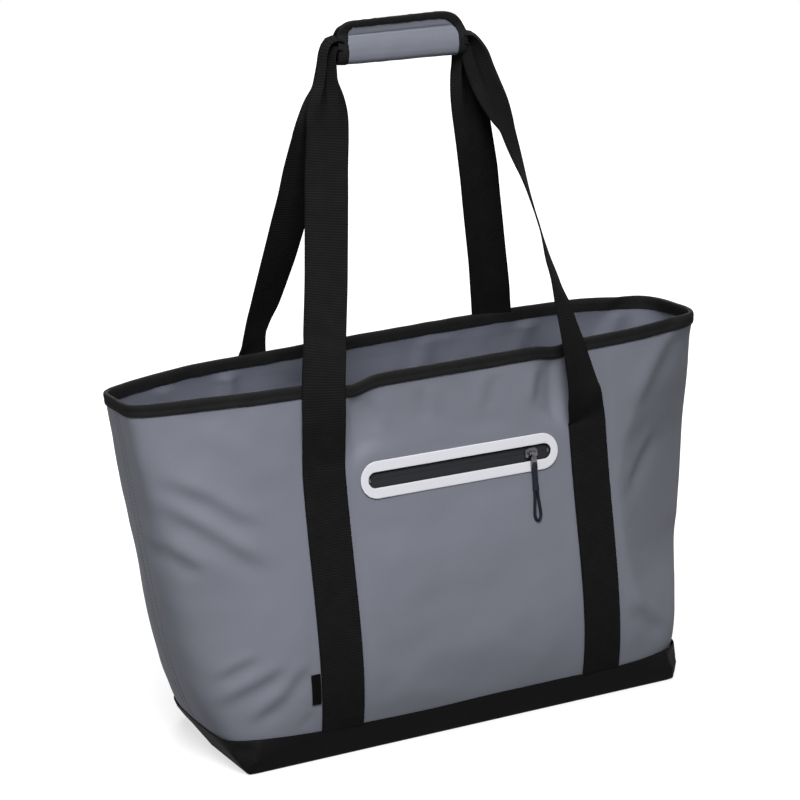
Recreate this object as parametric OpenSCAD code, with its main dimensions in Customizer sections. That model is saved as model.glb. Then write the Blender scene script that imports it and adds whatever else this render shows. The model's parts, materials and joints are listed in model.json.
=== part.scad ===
// Insulated cooler bag with a zip pocket, a recessed zip closure and wrapped webbing handles.
// Millimetres, +Z up, front toward -Y, origin at the middle of the underside.

/* [Overall] */
// Height of the rim above the floor
bag_h = 320; // [270:1:390]
// Length of the mouth from tip to tip
mouth_len = 562; // [470:1:680]
// Depth of the mouth at the middle
mouth_dep = 126; // [112:1:160]
// Length of the bottom
base_len = 418; // [340:1:460]
// Depth of the bottom
base_dep = 150; // [130:1:180]
// How far the lower panels bulge
belly = 18; // [8:1:24]

/* [Walls] */
// Thickness of the outer tarpaulin
shell_t = 0.8; // [0.6:0.1:1.0]
// Thickness of the foam
foam_t = 7; // [6.5:0.5:9]
// Thickness of the liner
liner_t = 0.6; // [0.4:0.1:0.8]
// Height of the black boot
boot_h = 28; // [20:1:36]
// Height of the binding at the rim
rim_tape = 10.5; // [8:0.5:14]

/* [Straps] */
// Width of the webbing
web_w = 38; // [30:1:46]
// Thickness of the webbing
web_t = 1.6; // [1.2:0.1:2]
// Distance between the two straps of a handle
strap_gap = 254; // [230:1:290]
// Grip underside above the rim
handle_drop = 248; // [200:1:300]

/* [Grip] */
// Length of the grip wrap
grip_len = 125; // [100:1:150]
// Height of the grip wrap
grip_h = 36.5; // [35:0.5:44]
// Sideways lean of the grip
grip_shift = -10; // [-15:1:15]

/* [Pocket] */
// Length of the silver surround
pocket_len = 190; // [150:1:205]
// Height of the silver surround
pocket_wid = 31.5; // [30:0.5:42]
// Height of the middle of the zip
pocket_z = 232; // [210:1:245]

/* [Closure] */
// Closure below the rim
lid_drop = 58; // [54:1:70]
// Length of the two flaps
lid_len = 300; // [240:2:310]
// Distance of a parked slider from the middle
lid_park = 206; // [205:1:214]

/* [Hidden] */

$fn = 32;
grey = [0.33, 0.35, 0.41];
black = [0.06, 0.06, 0.065];
silver = [0.75, 0.75, 0.78];
gun = [0.22, 0.22, 0.23];
white = [0.86, 0.87, 0.88];
navy = [0.12, 0.14, 0.19];

// Depth of each layer below the outer face
o_shell = shell_t;
o_foam0 = shell_t + 0.2;
o_foam1 = o_foam0 + foam_t;
o_lin0 = o_foam1 + 0.2;
o_lin1 = o_lin0 + liner_t;
zip_deep = shell_t + 0.9;
pouch_in = zip_deep + 3.4;

// Outline of the body at a height: half length, half depth and squareness
function rise(z) = max(0, min(1, z / bag_h));
function half_len(z) = let(t = rise(z), g = 0.6 * t + 0.4 * (1 - pow(1 - t, 6.5)))
  base_len / 2 + (mouth_len - base_len) / 2 * g;
function half_dep(z) = let(t = rise(z)) base_dep / 2 + (mouth_dep - base_dep) / 2 * t
  + belly * t * pow(1 - t, 2.85) / 0.1102;
function squareness(z) = 3.2 + 3.8 * pow(1 - rise(z), 8) + 7 * pow(1 - rise(z), 40);
function sgn(v) = v > 0 ? 1 : v < 0 ? -1 : 0;

// Point on the outline at angle u and height z, moved inward by o
function edge_pt(u, z, o) = let(a = half_len(z), b = half_dep(z), n = squareness(z),
    x = a * sgn(cos(u)) * pow(abs(cos(u)), 2 / n), y = b * sgn(sin(u)) * pow(abs(sin(u)), 2 / n),
    p = sgn(x) * pow(abs(x) / a, n - 1) / a, q = sgn(y) * pow(abs(y) / b, n - 1) / b, m = sqrt(p * p + q * q))
  [x - o * p / m, y - o * q / m, z];

// Point on the front (side -1) or back (side 1) face at length x and height z, moved inward by o
function face_pt(x, z, o, side) = let(a = half_len(z), b = half_dep(z), n = squareness(z),
    y = b * pow(1 - pow(abs(x) / a, n), 1 / n),
    p = sgn(x) * pow(abs(x) / a, n - 1) / a, q = pow(y / b, n - 1) / b, m = sqrt(p * p + q * q))
  [x - o * p / m, side * (y - o * q / m), z];

// Heights of the rows that every layer shares
rows = bag_h * [0.045, 0.0875, 0.15, 0.22, 0.31, 0.42, 0.54, 0.66, 0.78, 0.86, 0.895, 0.93, 0.963];
function row_list(z0, z1) = concat([z0], [for (z = rows) if (z > z0 + 3 && z < z1 - 3) z], [z1]);

// Closed solid from a grid of outer points followed by the same grid of inner points
module slab(pts, nu, nz, flip = false) {
  s = (nu + 1) * (nz + 1);
  function id(k, j, i) = k * s + j * (nu + 1) + i;
  outer = [for (j = [0 : nz - 1]) for (i = [0 : nu - 1]) for (f = [
    [id(0, j, i), id(0, j + 1, i), id(0, j + 1, i + 1)],
    [id(0, j, i), id(0, j + 1, i + 1), id(0, j, i + 1)]]) f];
  inner = [for (j = [0 : nz - 1]) for (i = [0 : nu - 1]) for (f = [
    [id(1, j, i), id(1, j + 1, i + 1), id(1, j + 1, i)],
    [id(1, j, i), id(1, j, i + 1), id(1, j + 1, i + 1)]]) f];
  low = [for (i = [0 : nu - 1]) for (f = [[id(0, 0, i), id(0, 0, i + 1), id(1, 0, i + 1)],
    [id(0, 0, i), id(1, 0, i + 1), id(1, 0, i)]]) f];
  top = [for (i = [0 : nu - 1]) for (f = [[id(0, nz, i), id(1, nz, i + 1), id(0, nz, i + 1)],
    [id(0, nz, i), id(1, nz, i), id(1, nz, i + 1)]]) f];
  left = [for (j = [0 : nz - 1]) for (f = [[id(0, j, 0), id(1, j, 0), id(1, j + 1, 0)],
    [id(0, j, 0), id(1, j + 1, 0), id(0, j + 1, 0)]]) f];
  right = [for (j = [0 : nz - 1]) for (f = [[id(0, j, nu), id(1, j + 1, nu), id(1, j, nu)],
    [id(0, j, nu), id(0, j + 1, nu), id(1, j + 1, nu)]]) f];
  all = concat(outer, inner, low, top, left, right);
  polyhedron(points = pts, faces = flip ? [for (f = all) [f[0], f[2], f[1]]] : all, convexity = 6);
}

// How much of the foam is pressed away toward the rim, where the binding holds the layers together
function ease(v) = let(t = max(0, min(1, v))) t * t * (3 - 2 * t);
function pressed(z) = 0.88 * foam_t * ease((z - bag_h + 46) / 34);

// Half of the wall between two depths: u0 = 180 is the front, u0 = 0 the back
// b0 and b1 are 1 for a depth behind the foam
module wall(o0, o1, u0, z0, z1, b0 = 0, b1 = 0, nu = 24) {
  zs = row_list(z0, z1);
  nz = len(zs) - 1;
  slab([for (k = [0, 1]) for (j = [0 : nz]) for (i = [0 : nu])
    edge_pt(u0 + 180 * i / nu, zs[j], k == 0 ? o0 - b0 * pressed(zs[j]) : o1 - b1 * pressed(zs[j]))], nu, nz);
}

// Closed hoop round the bag from a section loop of [depth, height] points
module hoop(loop, nu = 48) {
  n = len(loop);
  function id(i, k) = (i % nu) * n + k % n;
  polyhedron(points = [for (i = [0 : nu - 1]) for (p = loop) edge_pt(360 * i / nu, p[1], p[0])],
    faces = [for (i = [0 : nu - 1]) for (k = [0 : n - 1]) for (f = [
      [id(i, k), id(i, k + 1), id(i + 1, k + 1)], [id(i, k), id(i + 1, k + 1), id(i + 1, k)]]) f],
    convexity = 6);
}
function rising(zs, o) = [for (z = zs) [o, z]];
function falling(zs, o) = [for (j = [len(zs) - 1 : -1 : 0]) [o, zs[j]]];

// Patch of the front or back face between two lengths, two heights and two depths
module patch(x0, x1, z0, z1, o0, o1, side, nx = 2) {
  zs = row_list(z0, z1);
  nz = len(zs) - 1;
  slab([for (k = [0, 1]) for (j = [0 : nz]) for (i = [0 : nx])
    face_pt(x0 + (x1 - x0) * i / nx, zs[j], k == 0 ? o0 : o1, side)], nx, nz, side > 0);
}

// Flat plate with the outline of the body at a height, moved inward by o
module plate(z_of, o, z0, t, nu = 72) {
  translate([0, 0, z0]) linear_extrude(t)
    polygon([for (i = [0 : nu - 1]) let(p = edge_pt(360 * i / nu, z_of, o)) [p[0], p[1]]]);
}

// Frames of the pocket and the closure
pocket_y = -half_dep(pocket_z);
lean = atan((half_dep(pocket_z - 16) - half_dep(pocket_z + 16)) / 32);
module at_pocket() { translate([0, pocket_y, pocket_z]) rotate([-lean, 0, 0]) children(); }
lid_z = bag_h - lid_drop;
hem_r = 1.5;
lid_y = abs(face_pt(lid_len / 2, lid_z, o_lin1 + 0.5, 1)[1]) - hem_r;

// Stations of the handles
strap_x = strap_gap / 2;
rim_x = strap_x - 6;
hinge_z = bag_h + 2;
hinge_y = face_pt(rim_x, bag_h, -1.4 - web_t / 2, 1)[1];
grip_z = bag_h + handle_drop;
web_mid = grip_z + 11.7;
leg_turn_fl = [0, -4, -12, -25, -30, -16, -4, 0, 0];
leg_turn_fr = [0, 6, 22, 56, 44, 20, 4, 0, 0];
leg_turn_bl = [0, 6, 14, 10, 4, 0, 0, 0, 0];
leg_turn_br = [0, -2, -6, -10, -8, -4, 0, 0, 0];
leg_wide = [1, 1, 1, 1, 1, 0.86, 0.5, 0.4, 0.36];
module front_panel() { color(grey) difference() {
  wall(0, o_shell, 180, 1.6, bag_h - 1);
  at_pocket() rotate([90, 0, 0]) translate([0, 0, -6]) linear_extrude(16)
    slot2(pocket_len - 12, win_w);
} }
module back_panel() { color(grey) wall(0, o_shell, 0, 1.6, bag_h - 1); }
module boot_floor() { color(black) plate(0, -1, 0, 1); }
module boot_band() {
  zs = row_list(1.1, boot_h);
  color(black) hoop(concat(rising(zs, -1), falling(zs, -0.2)));
}
module base_board() { color(black) plate(1, o_shell + 0.4, 1.2, 3); }
module base_foam() { color(white) plate(4.4, o_foam1 + 0.5, 4.4, 8); }
module front_foam() { color(white) difference() {
  wall(o_foam0, o_foam1, 180, 4.6, bag_h - 1, 0, 1);
  patch(-pocket_len / 2, pocket_len / 2, pocket_z - 134, pocket_z + pocket_wid / 2, -2, pouch_in + 0.9,
    -1, 8);
} }
module back_foam() { color(white) wall(o_foam0, o_foam1, 0, 4.6, bag_h - 1, 0, 1); }
module front_liner() { color(white) wall(o_lin0, o_lin1, 180, 12.8, lid_z - 3.4); }
module back_liner() { color(white) wall(o_lin0, o_lin1, 0, 12.8, lid_z - 3.4); }
module floor_liner() { color(white) plate(12.6, o_lin1 + 0.4, 12.6, 0.6); }
module front_facing() { color(grey) wall(o_lin0, o_lin1, 180, lid_z - 3, bag_h - 1, 1, 1); }
module back_facing() { color(grey) wall(o_lin0, o_lin1, 0, lid_z - 3, bag_h - 1, 1, 1); }
module rim_binding() {
  zs = [bag_h - rim_tape, bag_h];
  inner = [bag_h - rim_tape, bag_h - 0.8];
  d = o_lin1 - pressed(bag_h);
  color(black) hoop(concat(rising(zs, -1), falling(zs, d + 1), rising(inner, d + 0.2), falling(inner, -0.2)));
}

// Webbing on a panel from the boot to the rim, standing off near the rim
module strap(sx, side) {
  zs = row_list(boot_h + 0.3, bag_h + 0.6);
  nz = len(zs) - 1;
  color(black) slab([for (k = [0, 1]) for (j = [0 : nz]) for (i = [0 : 2])
    let(w = ease((zs[j] - bag_h + 80) / 70), c = sx * (strap_x - 6 * w), z = min(zs[j], bag_h),
      p = face_pt(c + web_w * (i / 2 - 0.5), z, -0.5 - 0.9 * w - (k == 0 ? web_t : 0), side))
    [p[0], p[1], zs[j]]], 2, nz, side > 0);
}
module strap_front_left() { strap(-1, -1); }
module strap_front_right() { strap(1, -1); }
module strap_back_left() { strap(-1, 1); }
module strap_back_right() { strap(1, 1); }

// Free webbing from the rim to one end of the grip, turned about its own line
function cross3(a, b) = [a[1] * b[2] - a[2] * b[1], a[2] * b[0] - a[0] * b[2], a[0] * b[1] - a[1] * b[0]];
function unit(v) = v / norm(v);
function leg_route(sx, side) = let(tx = grip_shift + sx * grip_len / 2, x0 = sx * rim_x, x5 = tx + sx * 17,
    y0 = side * hinge_y, y5 = side * 5, z0 = hinge_z + (side < 0 ? 0 : 0.4), h = web_mid - z0)
  concat([for (f = [0, 0.07, 0.2, 0.42, 0.65, 0.82]) let(g = f / 0.82)
      [x0 + (x5 - x0) * pow(g, 1.15), y0 + (y5 - y0) * (1 - pow(1 - g, 1.6)), z0 + h * f]],
    [[tx + sx * 13, y5, web_mid - 22], [tx + sx * 7.5, y5, web_mid - 6], [tx + sx * 0.6, y5, web_mid]]);
module leg(sx, side, turn) {
  r = leg_route(sx, side);
  n = len(r) - 1;
  function along(i) = i == 0 ? [0, 0, 1] : i == n ? [-sx, 0, 0] : unit(r[i + 1] - r[i - 1]);
  function wide(i) = let(t = along(i), h = i == n ? [0, 0, sx] : [cos(turn[i]), sin(turn[i]), 0])
    unit(h - t * (h * t));
  function corner(k, j, i) = let(w = wide(j), m = cross3(along(j), w))
    r[j] + w * web_w * leg_wide[j] * (i - 0.5) + m * web_t * (k == 0 ? -0.5 : 0.5);
  color(black) {
    slab([for (k = [0, 1]) for (j = [0 : n]) for (i = [0, 1]) corner(k, j, i)], 1, n);
    if (side > 0) translate([sx * rim_x, hinge_y, hinge_z]) rotate([0, 90, 0])
      cylinder(h = web_w - 2, r = web_t / 2 + 0.2, center = true);
  }
}
module leg_front_left() { leg(-1, -1, leg_turn_fl); }
module leg_front_right() { leg(1, -1, leg_turn_fr); }
module leg_back_left() { leg(-1, 1, leg_turn_bl); }
module leg_back_right() { leg(1, 1, leg_turn_br); }
module label_tab() { color(black)
  patch(-strap_x - web_w / 2 - 8.4, -strap_x - web_w / 2 - 0.4, 54, 80, -1.3, -0.5, -1, 1); }

// Flat outline with round ends
module slot2(l, w) {
  square([l - w, w], center = true);
  for (s = [-1, 1]) translate([s * (l - w) / 2, 0]) circle(d = w);
}

// Zip pocket: local X along the zip, local Z up the panel, outward is local -Y
win_l = pocket_len - 14;
win_w = pocket_wid - 16.2;
park_x = win_l / 2 - 19;
pin_n = 3.8;
module sheet_out(n0, t) { rotate([90, 0, 0]) translate([0, 0, n0]) linear_extrude(t) children(); }
module block(x0, x1, n0, n1, v0, v1) { translate([x0, -n1, v0]) cube([x1 - x0, n1 - n0, v1 - v0]); }
module pocket_surround() { color(silver) at_pocket() sheet_out(0.55, 0.5) difference() {
  slot2(pocket_len, pocket_wid);
  slot2(win_l, win_w);
} }
module zip_tape(s) { color(black) at_pocket() sheet_out(-zip_deep - 0.6, 0.6)
  translate([0, s * (win_w / 4 + 2.05)]) square([win_l + 4, win_w / 2 + 2.9], center = true); }
module pocket_tape_upper() { zip_tape(1); }
module pocket_tape_lower() { zip_tape(-1); }
module pocket_stops() { color(gun) at_pocket() for (s = [-1, 1])
  block(s * (win_l / 2 - 2) - 0.8, s * (win_l / 2 - 2) + 0.8, -zip_deep + 0.1, -zip_deep + 1, -1.6, 1.6); }
module pocket_pouch() { color(black) difference() {
  patch(-win_l / 2 - 3, win_l / 2 + 3, pocket_z - 132, pocket_z + 15, o_shell + 0.3, pouch_in + 0.5, -1, 8);
  patch(-win_l / 2 - 2.6, win_l / 2 + 2.6, pocket_z - 131.4, pocket_z + 20, o_shell + 0.7, pouch_in, -1, 8);
  patch(-win_l / 2 - 6, win_l / 2 + 6, pocket_z - 15, pocket_z + 20, -3, pouch_in, -1, 8);
} }

// Zip slider about its own middle: the zip runs along X, outward is -Y, the top of the tape is at n = deck
module slider_body(deck, pin, turn) {
  block(-6, 6, deck + 0.5, deck + 2.4, -4.5, 4.5);
  block(-6, 6, deck - 2.4, deck - 1.1, -4.5, 4.5);
  block(-1, 5, deck - 1.3, deck + 0.7, -0.35, 0.35);
  rotate([0, turn, 0]) {
    for (s = [-1, 1]) block(s * 3.1 - 0.6, s * 3.1 + 0.6, deck + 2.2, pin + 0.9, -1.2, 1.2);
    translate([0, -pin, 0]) rotate([0, 90, 0]) cylinder(h = 5.2, r = 0.8, center = true);
  }
}
// Puller about its pin: hangs toward local -Z
module puller_body(long, eye) {
  rotate([90, 0, 0]) difference() {
    union() {
      translate([0, -1.6, 0]) linear_extrude(1.4, center = true) {
        translate([-2.1, -2.6]) square([4.2, 3.2]);
        translate([-3, -long + 3]) square([6, long - 4.6]);
        translate([0, -long + 3]) circle(r = 3);
      }
      rotate([0, 90, 0]) cylinder(h = 4.2, r = 1.75, center = true);
    }
    rotate([0, 90, 0]) cylinder(h = 8, r = 0.88, center = true);
    translate([0, eye]) cylinder(h = 6, r = 1.1, center = true);
  }
}
module at_pocket_pin() { at_pocket() translate([park_x, -pin_n, 0]) children(); }
module pocket_slider() { color(gun) at_pocket() translate([park_x, 0, 0]) slider_body(-zip_deep, pin_n, 0); }
module pocket_puller() { color(gun) at_pocket_pin() puller_body(11.6, -10.4); }
module pocket_sleeve() { color(navy) at_pocket_pin() {
  difference() {
    rotate([90, 0, 0]) linear_extrude(4.4, center = true) {
      translate([-2.8, -31]) square([5.6, 20.8]);
      translate([0, -10.2]) circle(r = 2.8);
      translate([0, -30.8]) circle(r = 2.8);
    }
    translate([-4, -0.95, -13.7]) cube([8, 1.9, 8]);
  }
  translate([0, 0, -10.4]) rotate([90, 0, 0]) cylinder(h = 4, r = 1, center = true);
} }
// Loop of cord below the sleeve, as length along the zip and depth below the pin
cord_d = 2.6;
cord_route = [[-1.4, -33.8], [-1.5, -37], [-2, -42], [-2.6, -48], [-2.9, -53], [-2.1, -56.6], [0, -58.2],
  [2.1, -56.6], [2.9, -53], [2.6, -48], [2, -42], [1.5, -37], [1.4, -33.8]];
module pocket_cord() {
  n = len(cord_route) - 1;
  r = cord_d / 2;
  pts = [for (j = [0 : n])
    let(p = cord_route[j], a = cord_route[max(0, j - 1)], b = cord_route[min(n, j + 1)], d = unit(b - a))
    for (k = [0 : 7]) [p[0] - d[1] * r * cos(45 * k), r * sin(45 * k), p[1] + d[0] * r * cos(45 * k)]];
  side = [for (j = [0 : n - 1]) for (k = [0 : 7]) for (f = [
    [j * 8 + k, (j + 1) * 8 + (k + 1) % 8, j * 8 + (k + 1) % 8],
    [j * 8 + k, (j + 1) * 8 + k, (j + 1) * 8 + (k + 1) % 8]]) f];
  color(navy) at_pocket_pin() polyhedron(points = pts, faces = concat(side,
    [[for (k = [0 : 7]) k]], [[for (k = [7 : -1 : 0]) n * 8 + k]]), convexity = 4);
}

// Closure below the rim: two flaps between fixed ends, hinged at their hems
module closure_end(s) { color(grey) difference() {
  plate(lid_z, o_lin1 + 0.5, lid_z - 1.5, 3);
  translate([s > 0 ? -mouth_len : -lid_len / 2 - 0.6, -mouth_dep, lid_z - 5])
    cube([mouth_len + lid_len / 2 + 0.6, 2 * mouth_dep, 10]);
  translate([s > 0 ? 0 : -lid_park - 14, -9, lid_z - 5]) cube([lid_park + 14, 18, 10]);
} }
module closure_end_left() { closure_end(-1); }
module closure_end_right() { closure_end(1); }
module closure_tail(s) { color(black) scale([s, 1, 1]) translate([0, 0, lid_z + 1.6]) linear_extrude(0.6)
  difference() {
    translate([lid_len / 2 + 0.6, -14]) square([lid_park + 20 - lid_len / 2, 28]);
    translate([lid_len / 2 - 1, -0.6]) square([lid_park + 9 - lid_len / 2, 1.2]);
  }
}
module closure_tail_left() { closure_tail(-1); }
module closure_tail_right() { closure_tail(1); }
module closure_flap(s) { color(grey) {
  translate([-lid_len / 2, s > 0 ? 9 : -lid_y, lid_z - hem_r]) cube([lid_len, lid_y - 9, 2 * hem_r]);
  translate([0, s * lid_y, lid_z]) rotate([0, 90, 0]) cylinder(h = lid_len, r = hem_r, center = true);
} }
module closure_flap_front() { closure_flap(-1); }
module closure_flap_back() { closure_flap(1); }
module closure_tape(s) { color(black)
  translate([-lid_len / 2, s > 0 ? 0.6 : -14, lid_z + 1.6]) cube([lid_len, 13.4, 0.6]); }
module closure_tape_front() { closure_tape(-1); }
module closure_tape_back() { closure_tape(1); }
lid_pin = 6.4;
module at_lid_park() { translate([lid_park, 0, lid_z]) rotate([-90, 0, 0]) children(); }
module closure_slider() { color(gun) at_lid_park() slider_body(2.2, lid_pin, 90); }
module closure_puller() { color(gun) translate([lid_park, 0, lid_z + lid_pin]) rotate([0, 8, 0])
  rotate([-90, 0, 0]) rotate([0, -90, 0]) puller_body(22, -17); }

// Grip: both webbings gathered inside a wrap that folds at the bottom and closes at the top
module along_grip(l) { translate([grip_shift, 0, grip_z]) rotate([90, 0, 90]) translate([0, 0, -l / 2])
  linear_extrude(l) children(); }
edge_b = 7;
module grip_webbing(y) { color(black) along_grip(grip_len - 1) translate([y, 5.4]) square([3.8, 12.6]); }
module grip_webbing_front() { grip_webbing(-4.2); }
module grip_webbing_back() { grip_webbing(0.4); }
module flap_section(g) {
  polygon([[-8 - g, 7.6], [-8 - g, 18.3], [-4.1 - g, 27.3], [-4.1 - g, grip_h], [-1.1, grip_h], [-1.1, 26.7],
    [-5, 17.7], [-5, 7.6]]);
}
// Rolled hem that the flap turns about
module flap_hem(l, x = 0) { translate([grip_shift + x, -6.5, grip_z + 7.6]) rotate([0, 90, 0])
  cylinder(h = l, r = 1.7, center = true); }
module back_section(g) {
  polygon([[4.1 + g, grip_h], [4.1 + g, 27.3], [8 + g, 18.3], [8 + g, 6], [5.4 + g, 1.6], [1.5, 0 - g],
    [-1.5, 0 - g], [-5.4, 1.4 - g], [-8, 5.2], [-5, 5.2], [-4.2, 3.6], [-1.2, 3], [1.2, 3], [4, 4], [5, 6.6],
    [5, 17.7], [1.1, 26.7], [1.1, grip_h]]);
}
// Window of a wrap face inside its binding, with round upper corners
module wrap_window(d) { translate([grip_shift, 20, grip_z]) rotate([90, 0, 0]) linear_extrude(40) {
  half = grip_len / 2 - edge_b - d;
  high = grip_h - edge_b - d;
  translate([-half, -5]) square([2 * half, high - 1]);
  translate([-half + 6, -5]) square([2 * half - 12, high + 5]);
  for (s = [-1, 1]) translate([s * (half - 6), high - 6]) circle(r = 6);
} }
module wrap_outline() { translate([grip_shift, 20, grip_z]) rotate([90, 0, 0]) linear_extrude(40) {
  translate([-grip_len / 2, -5]) square([grip_len, grip_h - 6]);
  translate([-grip_len / 2 + 11, -5]) square([grip_len - 22, grip_h + 5]);
  for (s = [-1, 1]) translate([s * (grip_len / 2 - 11), grip_h - 11]) circle(r = 11);
} }
module wrap_back() { color(grey) intersection() {
  along_grip(grip_len) back_section(0);
  wrap_window(0.15);
} }
module wrap_back_binding() { color(black) difference() {
  intersection() {
    along_grip(grip_len) back_section(0.6);
    wrap_outline();
  }
  wrap_window(0);
} }
module wrap_loop_patch() { color(black) along_grip(90) translate([0.25, 28.4]) square([0.75, 6]); }
module wrap_flap() { color(grey) {
  intersection() {
    along_grip(grip_len) flap_section(0);
    wrap_window(0.15);
  }
  flap_hem(grip_len - 2 * edge_b - 0.3);
} }
module wrap_flap_binding() { color(black) {
  difference() {
    intersection() {
      along_grip(grip_len) flap_section(0.6);
      wrap_outline();
    }
    wrap_window(0);
  }
  for (s = [-1, 1]) flap_hem(edge_b, s * (grip_len - edge_b) / 2);
} }
module wrap_hook_patch() { color(black) along_grip(90) translate([-1, 28.4]) square([0.75, 6]); }

front_panel();
back_panel();
boot_floor();
boot_band();
base_board();
base_foam();
front_foam();
back_foam();
front_liner();
back_liner();
floor_liner();
front_facing();
back_facing();
rim_binding();
strap_front_left();
strap_front_right();
strap_back_left();
strap_back_right();
leg_front_left();
leg_front_right();
leg_back_left();
leg_back_right();
label_tab();
pocket_surround();
pocket_tape_upper();
pocket_tape_lower();
pocket_stops();
pocket_pouch();
pocket_slider();
pocket_puller();
pocket_sleeve();
pocket_cord();
closure_end_left();
closure_end_right();
closure_tail_left();
closure_tail_right();
closure_flap_front();
closure_flap_back();
closure_tape_front();
closure_tape_back();
closure_slider();
closure_puller();
grip_webbing_front();
grip_webbing_back();
wrap_back();
wrap_back_binding();
wrap_loop_patch();
wrap_flap();
wrap_flap_binding();
wrap_hook_patch();
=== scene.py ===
import json
import math

import bmesh
import bpy
import numpy as np
from bpy.props import FloatProperty, FloatVectorProperty, PointerProperty
from bpy.types import Operator, Panel, PropertyGroup
from mathutils import Matrix, Vector, noise


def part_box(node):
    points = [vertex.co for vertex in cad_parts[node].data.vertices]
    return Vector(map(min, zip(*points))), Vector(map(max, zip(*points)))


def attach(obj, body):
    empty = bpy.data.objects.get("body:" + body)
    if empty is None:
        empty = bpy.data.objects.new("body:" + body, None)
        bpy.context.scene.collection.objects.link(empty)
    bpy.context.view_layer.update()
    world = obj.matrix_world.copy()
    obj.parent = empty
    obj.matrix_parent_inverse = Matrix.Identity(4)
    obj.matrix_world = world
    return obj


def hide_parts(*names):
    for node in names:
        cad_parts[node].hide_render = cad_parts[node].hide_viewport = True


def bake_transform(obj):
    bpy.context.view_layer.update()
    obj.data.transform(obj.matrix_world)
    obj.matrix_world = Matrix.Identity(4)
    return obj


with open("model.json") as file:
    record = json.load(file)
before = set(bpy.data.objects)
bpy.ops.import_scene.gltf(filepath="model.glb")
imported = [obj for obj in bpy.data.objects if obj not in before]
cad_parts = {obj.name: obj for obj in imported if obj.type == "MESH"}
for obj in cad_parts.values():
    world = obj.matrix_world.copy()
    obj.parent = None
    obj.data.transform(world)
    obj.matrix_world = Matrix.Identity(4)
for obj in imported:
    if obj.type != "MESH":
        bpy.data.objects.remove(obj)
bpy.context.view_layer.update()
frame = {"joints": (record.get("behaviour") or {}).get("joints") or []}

bl_info = {
    "name": "Insulated cooler bag",
    "version": (1, 0, 0),
    "blender": (4, 5, 0),
    "location": "View3D > Sidebar > Cooler bag",
    "description": "Makes the soft and hard pieces of an insulated tote on its construction frame",
    "category": "Object",
}

RIM_LOW, RIM_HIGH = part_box("rim_binding")
BASE_LOW, BASE_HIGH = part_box("boot_floor")
BOOT_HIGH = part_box("boot_band")[1]
SURROUND_LOW, SURROUND_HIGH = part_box("pocket_surround")
MM = 0.001
SIDES = ((-1, "front"), (1, "back"))
ENDS = ((-1, "left"), (1, "right"))

# Camera of the picture: where it stands, how it is turned and its lens
CAMERA_PLACE = (-0.98018, -1.84494, 0.81316)
CAMERA_AZIMUTH, CAMERA_TILT, CAMERA_ROLL = -27.5, 14.46, -1.68
CAMERA_LENS, CAMERA_SENSOR = 112.5, 36.0


def linear(red, green, blue):
    """Linear colour of a display colour given in 0 to 255."""
    shares = (v / 255 for v in (red, green, blue))
    return tuple(v / 12.92 if v <= 0.04045 else ((v + 0.055) / 1.055) ** 2.4 for v in shares)


def smooth(v):
    """Smooth step from 0 to 1, for numbers and arrays."""
    t = np.clip(v, 0.0, 1.0)
    return t * t * (3 - 2 * t)


def power(v, exponent):
    """Power of a number or an array that keeps its sign."""
    return np.sign(v) * np.abs(v) ** exponent


def unit(v):
    return v / np.maximum(np.linalg.norm(v, axis=-1, keepdims=True), 1e-12)


def lengths(points):
    """Distance from the start of a line to each of its points."""
    return np.concatenate([[0.0], np.cumsum(np.linalg.norm(np.diff(points, axis=0), axis=1))])


def turns(count):
    """Angles at equal steps round a circle."""
    return np.linspace(0, 2 * math.pi, count + 1)[:-1]


def bumps(points, scale, shift=(0.0, 0.0, 0.0)):
    """Smooth random heights between -1 and 1 at points of any grid."""
    made = [noise.noise(Vector(p) * scale + Vector(shift)) for p in np.reshape(points, (-1, 3))]
    return np.reshape(made, np.shape(points)[:-1])


def length_prop(name, text, value):
    return FloatProperty(name=name, description=text, default=value, subtype="DISTANCE", unit="LENGTH")


def colour_prop(name, text, rgb):
    return FloatVectorProperty(name=name, description=text, default=linear(*rgb), size=3, subtype="COLOR",
                               min=0.0, max=1.0)


class BagSizes(PropertyGroup):
    """Sizes of the bag; the large ones come from the frame."""
    height: length_prop("Height", "Height of the rim", RIM_HIGH.z)
    mouth_length: length_prop("Mouth length", "Length of the mouth", RIM_HIGH.x - RIM_LOW.x - 2 * MM)
    mouth_depth: length_prop("Mouth depth", "Depth of the mouth", RIM_HIGH.y - RIM_LOW.y - 2 * MM)
    base_length: length_prop("Base length", "Length of the base", BASE_HIGH.x - BASE_LOW.x - 2 * MM)
    base_depth: length_prop("Base depth", "Depth of the base", BASE_HIGH.y - BASE_LOW.y - 2 * MM)
    belly: length_prop("Belly", "How far the panels stand out low down", 0.018)
    boot_height: length_prop("Boot height", "Height of the black boot", BOOT_HIGH.z)
    rim_tape: length_prop("Rim binding", "Height of the rim binding", RIM_HIGH.z - RIM_LOW.z)
    web_width: length_prop("Webbing width", "Width of the webbing", 0.038)
    web_thick: length_prop("Webbing thickness", "Thickness of the webbing", 0.0016)
    strap_x: length_prop("Strap centre", "Distance of a strap from the middle", 0.127)
    pocket_length: length_prop("Pocket length", "Length of the reflective surround",
                               SURROUND_HIGH.x - SURROUND_LOW.x)
    pocket_width: length_prop("Pocket width", "Width of the reflective surround", 0.0315)
    pocket_height: length_prop("Pocket height", "Height of the zip above the base", 0.232)
    grip_length: length_prop("Grip length", "Length of the wrap", 0.125)
    grip_shift: length_prop("Grip shift", "Sideways place of the wrap", -0.010)
    grip_z: length_prop("Grip height", "Height of the bottom of the wrap", 0.568)
    stitch_pitch: length_prop("Stitch pitch", "Distance between stitches", 0.0031)
    slack: FloatProperty(name="Slack", description="How deep the folds of the panels are", default=1.0,
                         min=0.0, max=2.0, subtype="FACTOR")


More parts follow.
